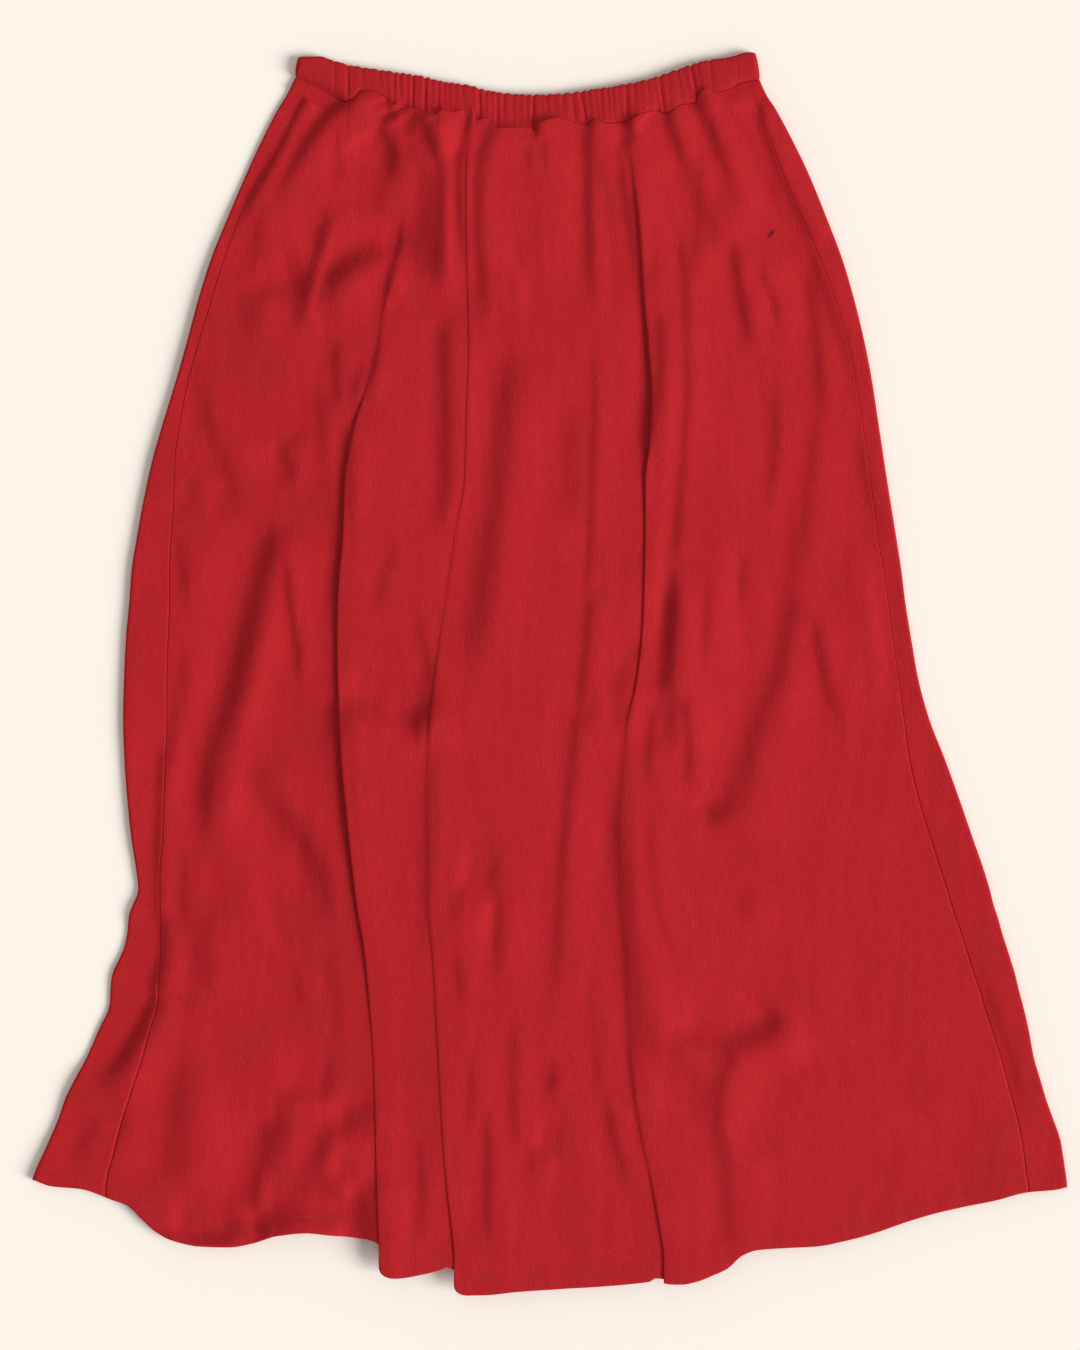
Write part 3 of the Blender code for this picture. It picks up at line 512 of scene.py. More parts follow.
def upper_height(u, across, down, seam, hem):
    """Height of the middle of the cloth in the upper layer."""
    left, right = roll_top(-1, down), roll_top(1, down)
    share = np.clip((across - left) / (right - left), 0.0, 1.0)
    dome = ease(2 * np.minimum(share, 1 - share)) ** LOFT_FULLNESS
    height = LOWEST_TOP_LAYER + EDGE_LOFT + MIDDLE_LOFT * dome
    height = height - SEAM_PINCH * np.exp(-(down - seam) / SEAM_PINCH_LENGTH)
    height = height + lap_height(u, across, down)
    for crease in CREASES:
        height = height + crease_height(crease, across, down)
    for wave in WAVES:
        slanted = across + wave.slant * down
        height = height + wave.height * ripple(wave.seed, slanted, down, wave.wide, wave.long)
    over = height - LOWEST_TOP_LAYER
    height = LOWEST_TOP_LAYER + (over + np.sqrt(over**2 + FLOOR_SOFTNESS)) / 2
    above_hem = hem - down
    hem_step = ease((HEM_DEPTH + HEM_STEP_WIDTH - above_hem) / HEM_STEP_WIDTH)
    height = height + HEM_THICKNESS * hem_step
    off_stitches = (above_hem - HEM_DEPTH + STITCH_INSET) / STITCH_GROOVE_WIDTH
    return height - STITCH_GROOVE * np.exp(-(off_stitches**2))


SEAM_ROUNDS = 6
NEAR_HEM = LENGTH - 30.0


def waist_seam_down(u):
    seam = np.full_like(u, WAIST_SEAM[0].down)
    for _ in range(SEAM_ROUNDS):
        seam = edge_down(WAIST_SEAM, across_at(u, seam))
    return seam


def hem_down(u):
    """Where the cloth at place u ends, on the hem's own curve for its stretch."""
    across = across_at(u, np.full_like(u, NEAR_HEM))
    hem = edge_down(HEM[0], across)
    for number in range(len(FOLDS)):
        start, end = HEM[number][-1].down, HEM[number + 1][0].down
        turn = u - 2 * number - 1
        hem = np.where(turn > 0, mix(start, end, ease(turn)), hem)
        hem = np.where(turn > 1, edge_down(HEM[number + 1], across), hem)
    return hem


def upper_layer(places, shares):
    """A grid of points (across, down, height), a column for each place and a row for each share."""
    u = np.asarray(places, float)[:, None]
    seam, hem = waist_seam_down(u), hem_down(u)
    down = seam + SEAM_GAP + (hem - seam - SEAM_GAP) * shares
    u = u + np.zeros_like(down)
    across = across_at(u, down)
    return np.stack([across, down, upper_height(u, across, down, seam, hem)], axis=-1)


PANEL_ROWS = 180
FIRST_STEP, FIRST_GROWTH = 0.12, 1.09
LAST_STEP, LAST_GROWTH = 0.3, 1.2


def row_shares():
    """Each row's share of the way from the waist seam to the hem, closest together at both ends."""
    i = np.arange(PANEL_ROWS)
    first, last = FIRST_STEP * FIRST_GROWTH**i, LAST_STEP * LAST_GROWTH ** (PANEL_ROWS - 1 - i)
    steps = np.minimum(np.minimum(first, last), 1.0)
    return sums(steps) / steps.sum()


def to_metres(points):
    """Table millimetres to metres about the centre of the footprint."""
    across, down, height = np.moveaxis(np.asarray(points, float), -1, 0)
    return np.stack([across, LENGTH / 2 - down, height], axis=-1) / 1000.0


def in_scene(name, data):
    piece = bpy.data.objects.new(name, data)
    bpy.context.scene.collection.objects.link(piece)
    return piece


def grid_faces(columns, rows, first=0):
    """The four corners of each cell of a grid whose points are numbered from first."""
    i, j = np.meshgrid(np.arange(columns - 1), np.arange(rows - 1), indexing="ij")
    corner = first + (i * rows + j).ravel()
    return np.stack([corner, corner + 1, corner + rows + 1, corner + rows], axis=1)


def cloth_wall(name, middle, wall, start_across=None):
    """A wall of cloth about a grid of points, columns by rows, with its faces pointing outwards.

    Its outer face has every point of the grid, and its inner face every second one. Its map "cut"
    has the cloth laid flat: metres up, and metres across the grain, which count from the middle
    column unless the first column's place is given.
    """
    points = to_metres(middle)
    columns, rows = points.shape[:2]
    sides = np.cross(np.gradient(points, axis=1), np.gradient(points, axis=0))
    sides /= np.linalg.norm(sides, axis=-1, keepdims=True) + 1e-12
    outer = points + sides * wall / 2000.0
    inner = (points - sides * wall / 2000.0)[::2, ::2]
    step_across = np.linalg.norm(np.diff(points, axis=0), axis=-1)
    flat_across = np.concatenate([np.zeros((1, rows)), np.cumsum(step_across, axis=0)])
    if start_across is None:
        start_across = -flat_across[columns // 2]
    flat_across = flat_across + start_across
    cut = np.stack([flat_across, points[..., 1]], axis=-1)

    first = columns * rows
    inner_columns, inner_rows = inner.shape[:2]
    faces = grid_faces(columns, rows).tolist()
    faces += grid_faces(inner_columns, inner_rows, first)[:, ::-1].tolist()

    def rim(outer_line, inner_line):
        for k in range(len(inner_line) - 1):
            edge = outer_line[2 * k : 2 * k + 3]
            faces.append([int(v) for v in (*edge, inner_line[k + 1], inner_line[k])])

    out = np.arange(columns * rows).reshape(columns, rows)
    into = first + np.arange(inner_columns * inner_rows).reshape(inner_columns, inner_rows)
    smooth_faces = len(faces)
    rim(out[:, 0], into[:, 0])
    rim(out[::-1, -1], into[::-1, -1])
    rim(out[0, ::-1], into[0, ::-1])
    rim(out[-1], into[-1])

    mesh = bpy.data.meshes.new(name)
    corners = np.concatenate([outer.reshape(-1, 3), inner.reshape(-1, 3)])
    mesh.from_pydata(corners.tolist(), [], faces)
    mesh.polygons.foreach_set("use_smooth", np.arange(len(faces)) < smooth_faces)
    flat = np.concatenate([cut.reshape(-1, 2), cut[::2, ::2].reshape(-1, 2)])
    at = np.empty(len(mesh.loops), int)
    mesh.loops.foreach_get("vertex_index", at)
    mesh.uv_layers.new(name="cut").data.foreach_set("uv", flat[at].ravel())
    return in_scene(name, mesh)


class Shade:
    """A value, colour or shape in a node tree. Arithmetic on it adds Math nodes."""

    def __init__(self, tree, socket=None):
        self.tree = tree
        self.socket = socket

    def node(self, kind, sockets=None, output=0, **settings):
        """Any other node, with its settings first and then the values or links of its sockets."""
        made = self.tree.nodes.new(kind)
        for setting, value in settings.items():
            setattr(made, setting, value)
        for socket, value in (sockets or {}).items():
            if isinstance(value, Shade):
                self.tree.links.new(value.socket, made.inputs[socket])
            else:
                made.inputs[socket].default_value = value
        return Shade(self.tree, made.outputs[output])

    def math(self, operation, first, second):
        return self.node("ShaderNodeMath", {0: first, 1: second}, operation=operation)

    def __add__(self, other):
        return self.math("ADD", self, other)

    def __sub__(self, other):
        return self.math("SUBTRACT", self, other)

    def __mul__(self, other):
        return self.math("MULTIPLY", self, other)

    __radd__ = __add__
    __rmul__ = __mul__

    def __rsub__(self, other):
        return self.math("SUBTRACT", other, self)

    def stretched(self, across, along, seed=0.0):
        """This place with so many noise cells a metre across the cloth and along it."""
        scale = {0: self, 1: (across, along, 1.0), 2: (seed, seed, seed)}
        return self.node("ShaderNodeVectorMath", scale, operation="MULTIPLY_ADD")

    def noise(self, detail=2.0, roughness=0.5):
        sockets = {"Vector": self, "Scale": 1.0, "Detail": detail, "Roughness": roughness}
        return self.node("ShaderNodeTexNoise", sockets)

    def between(self, low, high):
        """0 below low and 1 above high, with a smooth step."""
        sockets = {"Value": self, "From Min": low, "From Max": high}
        return self.node("ShaderNodeMapRange", sockets, interpolation_type="SMOOTHSTEP")

    def mixed(self, low, high):
        """The colour low where this is 0, and high where it is 1."""
        # The node's sockets for colours are 6 and 7, and its colour comes out of socket 2.
        low, high = [c if isinstance(c, Shade) else (*c, 1.0) for c in (low, high)]
        return self.node("ShaderNodeMix", {0: self, 6: low, 7: high}, 2, data_type="RGBA")


def new_material(name):
    """A material, with its node tree and its shader."""
    material = bpy.data.materials.new(name)
    material.use_nodes = True
    return material, material.node_tree, material.node_tree.nodes["Principled BSDF"]


# The dark fleck on the front, upper right: its middle, half length and half width, and turn.
FLECK_MIDDLE = (0.1637, 0.3256)
FLECK_SIZE = (0.0046, 0.0017)
FLECK_TURN = math.radians(48)
FLECK_RED = (0.085, 0.006, 0.012)
# From the middle of one thread to the next but one, in metres.
THREAD_REPEAT = 0.00075


def linen(name, deep, mid, pale, speck):
    """Plain-weave linen dyed red: uneven threads both ways, pale slubs in patches, a matt face."""
    material, tree, shader = new_material(name)
    shader.inputs["Specular IOR Level"].default_value = 0.12
    cut = Shade(tree).node("ShaderNodeUVMap", uv_map="cut")

    warp = cut.stretched(950.0, 90.0).noise()
    weft = cut.stretched(260.0, 1000.0, 7.3).noise()
    grain = cut.stretched(1100.0, 900.0, 2.9).noise(1.0)
    cloud = cut.stretched(26.0, 12.0, 3.1).noise(3.0)
    patch = cut.stretched(34.0, 17.0, 11.7).noise(3.0, 0.6).between(0.4, 0.62)
    thread_tone = warp * 0.4 + weft * 0.2 + grain * 0.4
    tone = (thread_tone * 0.85 + cloud * 0.15).between(0.3, 0.7)
    colour = tone.mixed(deep, mid)
    slubs = (grain * 0.6 + warp * 0.4).between(0.56, 0.66) * (patch * 0.75 + 0.25)
    colour = slubs.mixed(colour, speck)
    long_slubs = cut.stretched(520.0, 14.0, 19.0).noise(1.0).between(0.64, 0.76)
    colour = (long_slubs * 0.35).mixed(colour, pale)

    place = Shade(tree).node("ShaderNodeTexCoord", output="Object")
    sockets = {
        "Vector": place,
        "Location": (*FLECK_MIDDLE, 0.0),
        "Rotation": (0.0, 0.0, FLECK_TURN),
        "Scale": (*FLECK_SIZE, 1.0),
    }
    in_fleck = place.node("ShaderNodeMapping", sockets, vector_type="TEXTURE")
    off_fleck = in_fleck.node("ShaderNodeVectorMath", {0: in_fleck}, "Value", operation="LENGTH")
    fleck = 1.0 - (off_fleck + warp * 0.5).between(0.8, 1.4)
    colour = (fleck * 0.85).mixed(colour, FLECK_RED)

    threads = 2 * math.pi / THREAD_REPEAT
    sockets = {0: cut, 1: (threads, threads, 0.0)}
    rows = cut.node("ShaderNodeVectorMath", sockets, operation="MULTIPLY")
    rows = rows.node("ShaderNodeVectorMath", {0: rows}, operation="SINE")
    across_threads = rows.node("ShaderNodeSeparateXYZ", {0: rows}, "X")
    up_threads = rows.node("ShaderNodeSeparateXYZ", {0: rows}, "Y")
    weave = across_threads * up_threads
    height = weave * 0.25 + warp * 0.6 + weft * 0.4 + grain * 0.5 + slubs * 0.4
    sockets = {"Height": height, "Strength": 0.5, "Distance": 0.0005}
    bump = height.node("ShaderNodeBump", sockets)
    rough = thread_tone * 0.2 + 0.72
    for socket, value in (("Base Color", colour), ("Roughness", rough), ("Normal", bump)):
        tree.links.new(value.socket, shader.inputs[socket])
    return material


PANEL_LINEN = linen(
    "red_linen",
    deep=(0.362, 0.01, 0.013),
    mid=(0.472, 0.0131, 0.0182),
    pale=(0.53, 0.0168, 0.0272),
    speck=(0.54, 0.019, 0.056),
)

WRAP_PLACES = np.arange(1, 19) / 18
ROLL_STEPS = 10
LOWER_COLUMNS = 44
LOWER_LAYER = CLOTH / 2 + 0.05


def wrap(side, shares):
    """The back panel's strip on top of the skirt, from its side seam out to the folded edge."""
    seam_place = 0 if side < 0 else LAST_SEAM
    strip = upper_layer(seam_place + side * np.concatenate([[0.0], WRAP_PLACES]), shares)
    strip[0] += (side * SEAM_GAP, 0.0, 0.0)
    return strip


def roll(edge, side):
    """The folded side edge: half a turn from the upper layer down to the lower one."""
    turn = math.pi / 2 - math.pi * np.arange(1, ROLL_STEPS + 1)[:, None] / ROLL_STEPS
    across = edge[:, 0] + side * ROLL_RADIUS * np.cos(turn)
    middle, radius = (edge[:, 2] + LOWER_LAYER) / 2, (edge[:, 2] - LOWER_LAYER) / 2
    return np.stack([across, edge[:, 1] + 0 * turn, middle + radius * np.sin(turn)], axis=-1)


def lower_layer(left, right, shares):
    """The lower layer, flat on the surface between the two folded edges."""
    share = np.arange(1, LOWER_COLUMNS)[:, None] / LOWER_COLUMNS
    start = edge_down(BACK_WAIST_SEAM, mix(left[0, 0], right[0, 0], share)) + SEAM_GAP
    end = edge_down(BACK_HEM, mix(left[-1, 0], right[-1, 0], share))
    down = mix(start, end, shares)
    across = mix(roll_top(-1, down), roll_top(1, down), share)
    return np.stack([across, down, np.full_like(down, LOWER_LAYER)], axis=-1)


def back_panel():
    shares = row_shares()
    left, right = wrap(-1, shares), wrap(1, shares)
    left_roll, right_roll = roll(left[-1], -1), roll(right[-1], 1)
    lower = lower_layer(left_roll[-1], right_roll[-1], shares)
    loop = [left, left_roll, lower, right_roll[::-1], right[::-1]]
    return np.concatenate(loop)[::-1]


back = cloth_wall("skirt_back_cloth", back_panel(), CLOTH, start_across=2.0)
back.data.materials.append(PANEL_LINEN)
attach(back, "root")
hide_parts("skirt_back")

# ---------------------------------------------------------------- the front panel
# One A-line panel of the same linen, gathered at the waist. It lies loose on the back panel, and
# its fullness falls over itself in three long lapped folds and many soft creases.
STRETCH_STEPS = (104, 24, 70, 118)
LAP_STEPS = 28


def front_places():
    """Where the front panel's columns stand: evenly in each stretch, close together in each lap."""
    places = []
    for part in range(LAST_SEAM):
        count = LAP_STEPS if part % 2 else STRETCH_STEPS[part // 2]
        places.append(part + np.arange(count) / count)
    return np.concatenate(places + [[LAST_SEAM]])


front_middle = upper_layer(front_places(), row_shares())
front_middle[0, :, 0] += SEAM_GAP
front_middle[-1, :, 0] -= SEAM_GAP
front = cloth_wall("skirt_front_cloth", front_middle, CLOTH)
front.data.materials.append(PANEL_LINEN)
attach(front, "root")
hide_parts("skirt_front")

# ---------------------------------------------------------------- the hem stitches
# A line of machine stitches in red thread holds the turned hem, 12 mm above its edge. It runs along
# the front panel and round onto both wraps.
HEM_STITCH_UP = HEM_DEPTH - STITCH_INSET
STITCH_LIFT = CLOTH / 2 + 0.05
STITCHES_ON_WRAP = np.array([0.3, 0.6, 0.9])
# In metres.
STITCH_SIZES = {"Spacing": 0.0034, "Stitch Length": 0.0027, "Thread Width": 0.0006}


def stitch_line():
    """Points of the stitches' path on the cloth's outer face, from one folded edge to the other."""
    left, right = -STITCHES_ON_WRAP[::-1], LAST_SEAM + STITCHES_ON_WRAP
    u = np.concatenate([left, front_places()[::2], right])[:, None]
    seam, hem = waist_seam_down(u), hem_down(u)
    down = hem - HEM_STITCH_UP
    across = across_at(u, down)
    height = upper_height(u, across, down, seam, hem) + STITCH_LIFT
    return to_metres(np.stack([across, down, height], axis=-1)[:, 0])


def stitch_tree(material):
    """Geometry Nodes: one small capsule of thread for each stitch along a wire's length."""
    tree = bpy.data.node_groups.new("hem_stitches", "GeometryNodeTree")
    face = tree.interface
    face.new_socket("Wire", in_out="INPUT", socket_type="NodeSocketGeometry")
    for name, value in STITCH_SIZES.items():
        socket = face.new_socket(name, in_out="INPUT", socket_type="NodeSocketFloat")
        socket.default_value = value
    face.new_socket("Stitches", in_out="OUTPUT", socket_type="NodeSocketGeometry")

    add = Shade(tree).node
    wire, spacing, length, width = [
        add("NodeGroupInput", output=name) for name in ("Wire", *STITCH_SIZES)
    ]
    path = add("GeometryNodeMeshToCurve", {"Mesh": wire})
    even = add("GeometryNodeCurveToPoints", {"Curve": path, "Length": spacing}, mode="LENGTH")
    ball = {"Segments": 8, "Rings": 5, "Radius": 0.5}
    capsule = add("GeometryNodeMeshUVSphere", ball)
    size = add("ShaderNodeCombineXYZ", {"X": width, "Y": width, "Z": length})
    tangent = Shade(tree, even.socket.node.outputs["Tangent"])
    along = add("FunctionNodeAlignRotationToVector", {"Vector": tangent}, axis="Z")
    sockets = {"Points": even, "Instance": capsule, "Rotation": along, "Scale": size}
    placed = add("GeometryNodeInstanceOnPoints", sockets)
    real = add("GeometryNodeRealizeInstances", {"Geometry": placed})
    dyed = add("GeometryNodeSetMaterial", {"Geometry": real, "Material": material})
    tree.links.new(dyed.socket, tree.nodes.new("NodeGroupOutput").inputs["Stitches"])
    return tree


def sewing_thread():
    """Red cotton thread, a little deeper than the linen, with its twist as fine bands."""
    material, tree, shader = new_material("red_thread")
    shader.inputs["Roughness"].default_value = 0.7
    place = Shade(tree).node("ShaderNodeTexCoord", output="Object")
    twist = place.stretched(2600.0, 2600.0).noise(1.0)
    colour = twist.between(0.35, 0.65).mixed((0.33, 0.013, 0.018), (0.46, 0.019, 0.028))
    tree.links.new(colour.socket, shader.inputs["Base Color"])
    return material


line = stitch_line()
wire_mesh = bpy.data.meshes.new("hem_stitches")
wire_mesh.from_pydata(line.tolist(), [(i, i + 1) for i in range(len(line) - 1)], [])
stitches = in_scene("hem_stitches", wire_mesh)
sewing = stitches.modifiers.new("sewing", "NODES")
sewing.node_group = stitch_tree(sewing_thread())
for item in sewing.node_group.interface.items_tree:
    if item.name in STITCH_SIZES:
        sewing[item.identifier] = STITCH_SIZES[item.name]
depsgraph = bpy.context.evaluated_depsgraph_get()
sewn_mesh = bpy.data.meshes.new_from_object(stitches.evaluated_get(depsgraph))
stitches.modifiers.remove(sewing)
stitches.data = sewn_mesh
sewn_mesh.shade_smooth()
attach(stitches, "root")

# ---------------------------------------------------------------- the waistband
# One strip of linen folded over 25 mm elastic into a ring and sewn to both panels. The elastic
# gathers it into fine uneven ribs, with deep grooves where the panels' big folds start; its ends
# lie smooth.
# Each groove: where it leaves the top edge, how far it moves right on its way down to the seam, and
# how deep it is at the top and at the seam, from 0 to 1.
Groove = namedtuple("Groove", "across slant top_depth seam_depth")
GROOVES = [
    Groove(*row) for row in (
        (-160.6, 0, 0.2, 0.3), (-149.5, 0, 0.4, 1), (-145.5, 0, 0.15, 0.05),
        (-138.6, 0, 0.35, 0.1), (-133.5, 0, 0.15, 0.05), (-126.2, 0, 0.4, 0.05),
        (-121.6, 0, 0.2, 0.05), (-115.4, 0, 0.6, 0.4), (-111, 0, 0.5, 0.3), (-106, 0, 0.5, 0.1),
        (-101.4, 0, 0.8, 1), (-97.4, 0, 0.2, 0.1), (-92.5, 0, 0.8, 1), (-87.2, 0, 0.45, 0.1),
        (-82.9, 0, 0.4, 0.3), (-78.4, 0, 0.4, 0.2), (-74.7, 0, 0.4, 0.2), (-69.8, 0, 0.3, 0.05),
        (-65.2, 1, 0.5, 0.05), (-58.6, 1, 0.2, 0.05), (-52.5, 1, 0.8, 0.7), (-47.6, 0, 0.55, 0.1),
        (-43.4, 0, 0.2, 0.1), (-39.2, 0, 0.3, 0.6), (-34.4, 0, 0.5, 0.1), (-27.4, 0, 0.3, 0.3),
        (-22.6, 0, 0.2, 0.1), (-17.4, 0, 0.45, 0.1), (-12.6, 0, 0.8, 0.9), (-6.4, 1, 0.25, 0.1),
        (-2.9, 1, 0.5, 0.1), (3.4, 1, 0.2, 0.1), (8.9, 1, 0.45, 0.1), (16.3, 2, 0.4, 0.5),
        (22.9, 4, 0.8, 1), (28.2, 3, 0.5, 0.1), (32.6, 3, 0.2, 0.1), (37, 2, 0.3, 0.3),
        (42.2, 2, 0.4, 0.3), (45.9, 2, 0.4, 0.2), (50.2, 2, 0.25, 0.1), (56.2, 1, 0.4, 0.8),
        (61.9, 2, 0.5, 0.1), (66.3, 2, 0.2, 0.05), (71.9, 3, 0.45, 0.05), (75.6, 4, 0.2, 0.1),
        (80.7, 4, 0.5, 0.9), (87.3, 3, 0.3, 0.1), (94.2, 4, 0.55, 0.1), (98.2, 5, 0.25, 0.1),
        (104.3, 5, 1, 1), (109, 4, 0.5, 0.1), (113.8, 3, 0.15, 0.1), (117.7, 2, 0.3, 0.3),
        (138.4, 2, 0.15, 0.2),
    )
]
WAIST_TOP = curve(
    (-187, 6.5), (-184, 3.6), (-178, 3.4), (-170, 3.3), (-163, 5.6), (-148, 9.6), (-132, 12.2),
    (-114, 14.6), (-96, 17.2), (-78, 21.6), (-61, 24.2), (-43, 28.6), (-25, 31.0), (-7, 31.2),
    (10, 30.6), (28, 27.8), (46, 25.2), (64, 21.8), (81, 17.4), (98, 11.2), (110, 7.2), (119, 5.6),
    (131, 4.2), (139, 2.0), (147, 0.2), (151, 0.6), (154, 3.5),
)
# The band's two ends, along its seam and along its top edge.
BAND_LOW = (-185.5, 152.5)
BAND_HIGH = (-183.5, 149.0)
# The ribs stand highest at the top edge, where each groove cuts a notch as deep as the scallop.
RIB_HEIGHT = 1.9
RIB_MIDDLE = 0.45
GROOVE_HALF_WIDTH = 3.2
GROOVE_FADE = 2.5
SCALLOP = 2.6
# The face swells up over the elastic from the seam, where it is pulled down.
BAND_LEVEL = 6.1
BAND_SWELL = 0.9
SWELL_START, SWELL_END, SWELL_FULLNESS = 0.06, 0.86, 0.6
LEVEL_RUN = 0.16
SEAM_DIP, SEAM_DIP_RUN = 0.7, 0.05
# How high the inner sides of the front and the back layer are, and the back layer's outer one.
FRONT_INSIDE, BACK_INSIDE, BACK_OUTSIDE = 3.35, 2.75, 0.15
BACK_RIB_HEIGHT, BACK_RIBS = 0.25, 46
# The back layer's top edge lies lower than the front's, and so out of sight.
BACK_DROP, BACK_DROP_FULLNESS = 3.9, 0.3
# How far a turned edge bulges, in half heights of the turn, and how much more the two ends do.
TURN_BULGE = 0.9
END_BULGE = 0.4
BAND_SPANS = 560
BAND_BACK_SPANS = 240
# The rows of the band's face, from 0 at the seam to 1 at the top edge.
BAND_ROWS = np.arange(15) / 14
BAND_TOP_STEPS = 5
BAND_END_STEPS = 8


def rib_height(across, row):
    """How high the gathers stand, from 0 in the deepest groove to 1 on a rib.

    row is 0 at the seam and 1 at the top edge.
    """
    starts, slants, top, low = np.array(GROOVES, float).T
    lines = starts + slants * (1 - row)
    depths = mix(low, top, row**GROOVE_FADE)
    cell = np.clip(np.searchsorted(lines, across) - 1, 0, len(lines) - 2)
    left, right = lines[cell], lines[cell + 1]
    t = np.clip((across - left) / (right - left), 0.0, 1.0)
    depth = depths[cell] * (1 - t) + depths[cell + 1] * t
    reach = min(min(across - left, right - across) / GROOVE_HALF_WIDTH, 1.0)
    if across < lines[0] or across > lines[-1]:
        reach = 1.0
    # A shallow groove is a soft wave, and a deep one a crisp line.
    dome = mix(ease(reach), math.sqrt(max(reach * (2 - reach), 0.0)), depth)
    return 1 - depth * (1 - dome)


def band_front(share, panel_edge):
    """The front layer's face at a share of its width, from the seam up to the top edge."""
    row = BAND_ROWS
    low, high = mix(*BAND_LOW, share), mix(*BAND_HIGH, share)
    across = mix(low, high, row)
    seam_down = float(np.interp(low, panel_edge[:, 0], panel_edge[:, 1])) - SEAM_GAP
    seam_height = float(np.interp(low, panel_edge[:, 0], panel_edge[:, 2]))
    top_down = float(edge_down(WAIST_TOP, high)) + SCALLOP * (1 - rib_height(high, 1.0))
    down = mix(seam_down, top_down, row)
    stand = np.array([rib_height(a, r) for a, r in zip(across, row)])
    swell = np.sin(math.pi * mix(SWELL_START, SWELL_END, row)) ** SWELL_FULLNESS
    level = mix(BAND_LEVEL, seam_height, np.exp(-row / LEVEL_RUN))
    height = level + swell * (BAND_SWELL + RIB_HEIGHT * (stand - RIB_MIDDLE))
    return np.stack([across, down, height - SEAM_DIP * np.exp(-row / SEAM_DIP_RUN)], axis=1)


def band_ring():
    """The ring's columns, each closed: up the outer face, over the top and down inside."""
    left_wrap, right_wrap = wrap(-1, row_shares()), wrap(1, row_shares())
    panel_edge = np.concatenate([left_wrap[:0:-1, 0], front_middle[:, 0], right_wrap[1:, 0]])
    panel_edge = panel_edge[np.argsort(panel_edge[:, 0])]
    faces = [band_front(i / BAND_SPANS, panel_edge) for i in range(BAND_SPANS + 1)]
    fronts = [profile(face, FRONT_INSIDE) for face in faces]
    backs = []
    for i in range(BAND_BACK_SPANS + 1):
        share = i / BAND_BACK_SPANS
        across = mix(faces[0][:, 0], faces[-1][:, 0], share)
        seam = float(edge_down(BACK_WAIST_SEAM, across[0])) - SEAM_GAP
        top = float(edge_down(WAIST_TOP, across[-1]))
        top += BACK_DROP * math.sin(math.pi * share) ** BACK_DROP_FULLNESS
        down = mix(seam, top, BAND_ROWS)
        gather = np.sin(2 * math.pi * share * BACK_RIBS) * math.sin(math.pi * share)
        face = np.stack([across, down, np.full_like(down, BACK_OUTSIDE)], axis=1)
        backs.append(profile(face, BACK_INSIDE + BACK_RIB_HEIGHT * gather))
    right_end = band_end(fronts[-1], backs[-1], 1)
    left_end = band_end(fronts[0], backs[0], -1)
    return np.array(fronts + right_end + backs[::-1] + left_end[::-1])


def profile(face, inside):
    """A closed profile round the elastic: the face, the folded top edge, and the inner side."""
    inner = face.copy()
    inner[:, 2] = inside
    top, under = face[-1], inner[-1]
    turn = math.pi * np.arange(1, BAND_TOP_STEPS)[:, None] / BAND_TOP_STEPS
    middle, radius = (top + under) / 2, (top - under) / 2
    over = middle + radius * np.cos(turn)
    over[:, 1] -= abs(radius[2]) * TURN_BULGE * np.sin(turn[:, 0])
    low_middle, low_radius = (inner[0] + face[0]) / 2, (inner[0] - face[0]) / 2
    low = low_middle + low_radius * np.cos(turn)
    return np.concatenate([face, over, inner[::-1], low])


def band_end(front_end, back_end, side):
    """The folded end of the flattened ring, half a turn from one layer to the other."""
    columns = []
    middle = (front_end[:, 2] + back_end[:, 2]) / 2
    radius = (front_end[:, 2] - back_end[:, 2]) / 2
    for i in range(1, BAND_END_STEPS):
        blend = i / BAND_END_STEPS
        turn = math.pi / 2 - math.pi * blend
        ring = front_end * (1 - blend) + back_end * blend
        ring[:, 2] = middle + radius * math.sin(turn)
        ring[:, 0] += side * (abs(radius) * TURN_BULGE + END_BULGE) * math.cos(turn)
        columns.append(ring)
    return columns


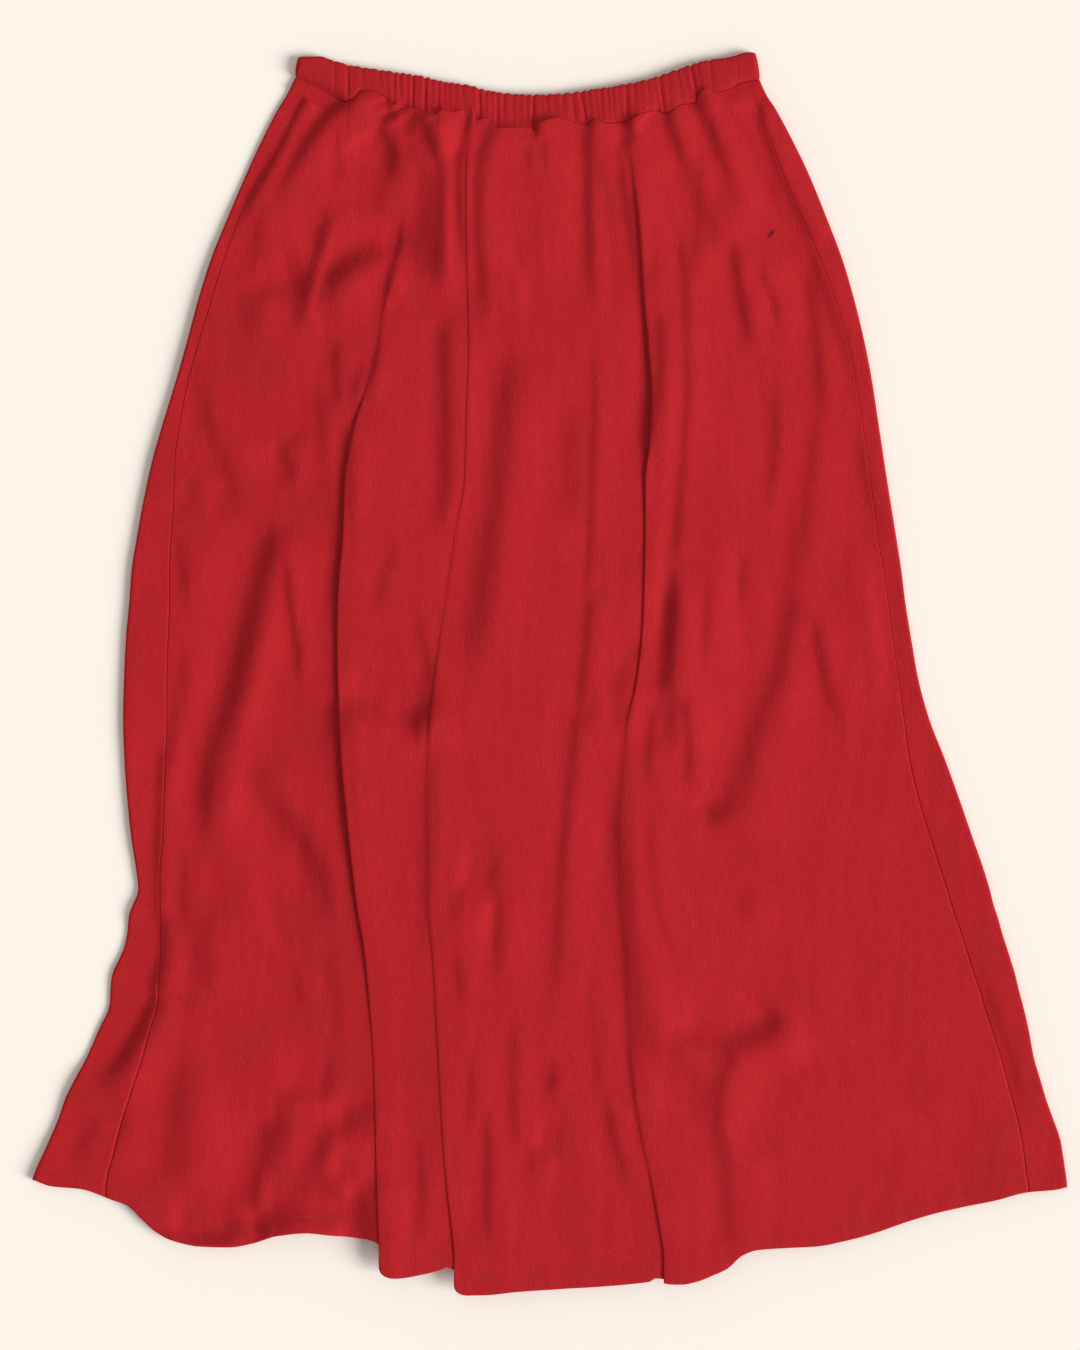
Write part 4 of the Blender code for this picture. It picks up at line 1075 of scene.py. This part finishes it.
def ring_mesh(name, rings):
    """A closed ring of closed profiles, with its map "cut" laid flat along the band."""
    points = to_metres(rings)
    count, size = points.shape[:2]
    i, j = np.meshgrid(np.arange(count), np.arange(size), indexing="ij")
    beside, above = (i + 1) % count, (j + 1) % size
    corners = [i * size + j, beside * size + j, beside * size + above, i * size + above]
    faces = np.stack(corners, axis=-1).reshape(-1, 4)
    mesh = bpy.data.meshes.new(name)
    mesh.from_pydata(points.reshape(-1, 3).tolist(), [], faces.tolist())
    mesh.shade_smooth()
    around = np.linalg.norm(np.diff(points, axis=0, append=points[:1]), axis=-1).mean(axis=1)
    up = np.linalg.norm(np.diff(points, axis=1, append=points[:, :1]), axis=-1).mean(axis=0)
    across, up = sums(around), sums(up)
    places = ((i, j), (i + 1, j), (i + 1, j + 1), (i, j + 1))
    flat = [np.stack([across[a], up[b]], axis=-1) for a, b in places]
    flat = np.stack(flat, axis=2).reshape(-1, 2)
    mesh.uv_layers.new(name="cut").data.foreach_set("uv", flat.ravel())
    return in_scene(name, mesh)


band = ring_mesh("waistband_cloth", band_ring())
BAND_LINEN = linen(
    "red_linen_band",
    deep=(0.35, 0.0096, 0.0125),
    mid=(0.462, 0.0126, 0.0178),
    pale=(0.515, 0.0162, 0.0266),
    speck=(0.53, 0.0185, 0.054),
)
band.data.materials.append(BAND_LINEN)
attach(band, "root")
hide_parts("waistband")

# ---------------------------------------------------------------- the studio
# A plain pale cream floor, one large soft light from the right and an even soft fill, and a camera
# that looks straight down from three metres.
floor_mesh = bpy.data.meshes.new("floor")
reach = 6.0
level = -0.0004
corners = [(x * reach, y * reach, level) for x, y in ((-1, -1), (1, -1), (1, 1), (-1, 1))]
floor_mesh.from_pydata(corners, [], [(0, 1, 2, 3)])
floor = in_scene("floor", floor_mesh)
paper, _, paper_shader = new_material("cream_paper")
paper_shader.inputs["Base Color"].default_value = (0.90, 0.845, 0.77, 1.0)
paper_shader.inputs["Roughness"].default_value = 0.95
paper_shader.inputs["Specular IOR Level"].default_value = 0.1
floor_mesh.materials.append(paper)

sun = bpy.data.lights.new("window", "SUN")
sun.energy = 3.5
sun.angle = math.radians(32)
window = in_scene("window", sun)
height_angle, side_angle = math.radians(32), math.radians(-20)
window.rotation_euler = (0.0, math.pi / 2 - height_angle, side_angle)

world = bpy.data.worlds.new("studio")
world.use_nodes = True
world.node_tree.nodes["Background"].inputs["Color"].default_value = (1.0, 0.985, 0.965, 1.0)
world.node_tree.nodes["Background"].inputs["Strength"].default_value = 0.5
bpy.context.scene.world = world
bpy.context.scene.view_settings.view_transform = "Standard"

# The photo's frame is 1080 by 1350, 0.74 mm a pixel, a little off the skirt's own middle.
FRAME_HEIGHT = 1350 * 0.00074
CAMERA_HEIGHT = 3.0
lens = bpy.data.cameras.new("camera")
lens.sensor_width = 36.0
lens.lens = 36.0 * CAMERA_HEIGHT / FRAME_HEIGHT
camera = in_scene("camera", lens)
camera.location = (-0.0074, -0.0010, CAMERA_HEIGHT + 0.006)
bpy.context.scene.camera = camera
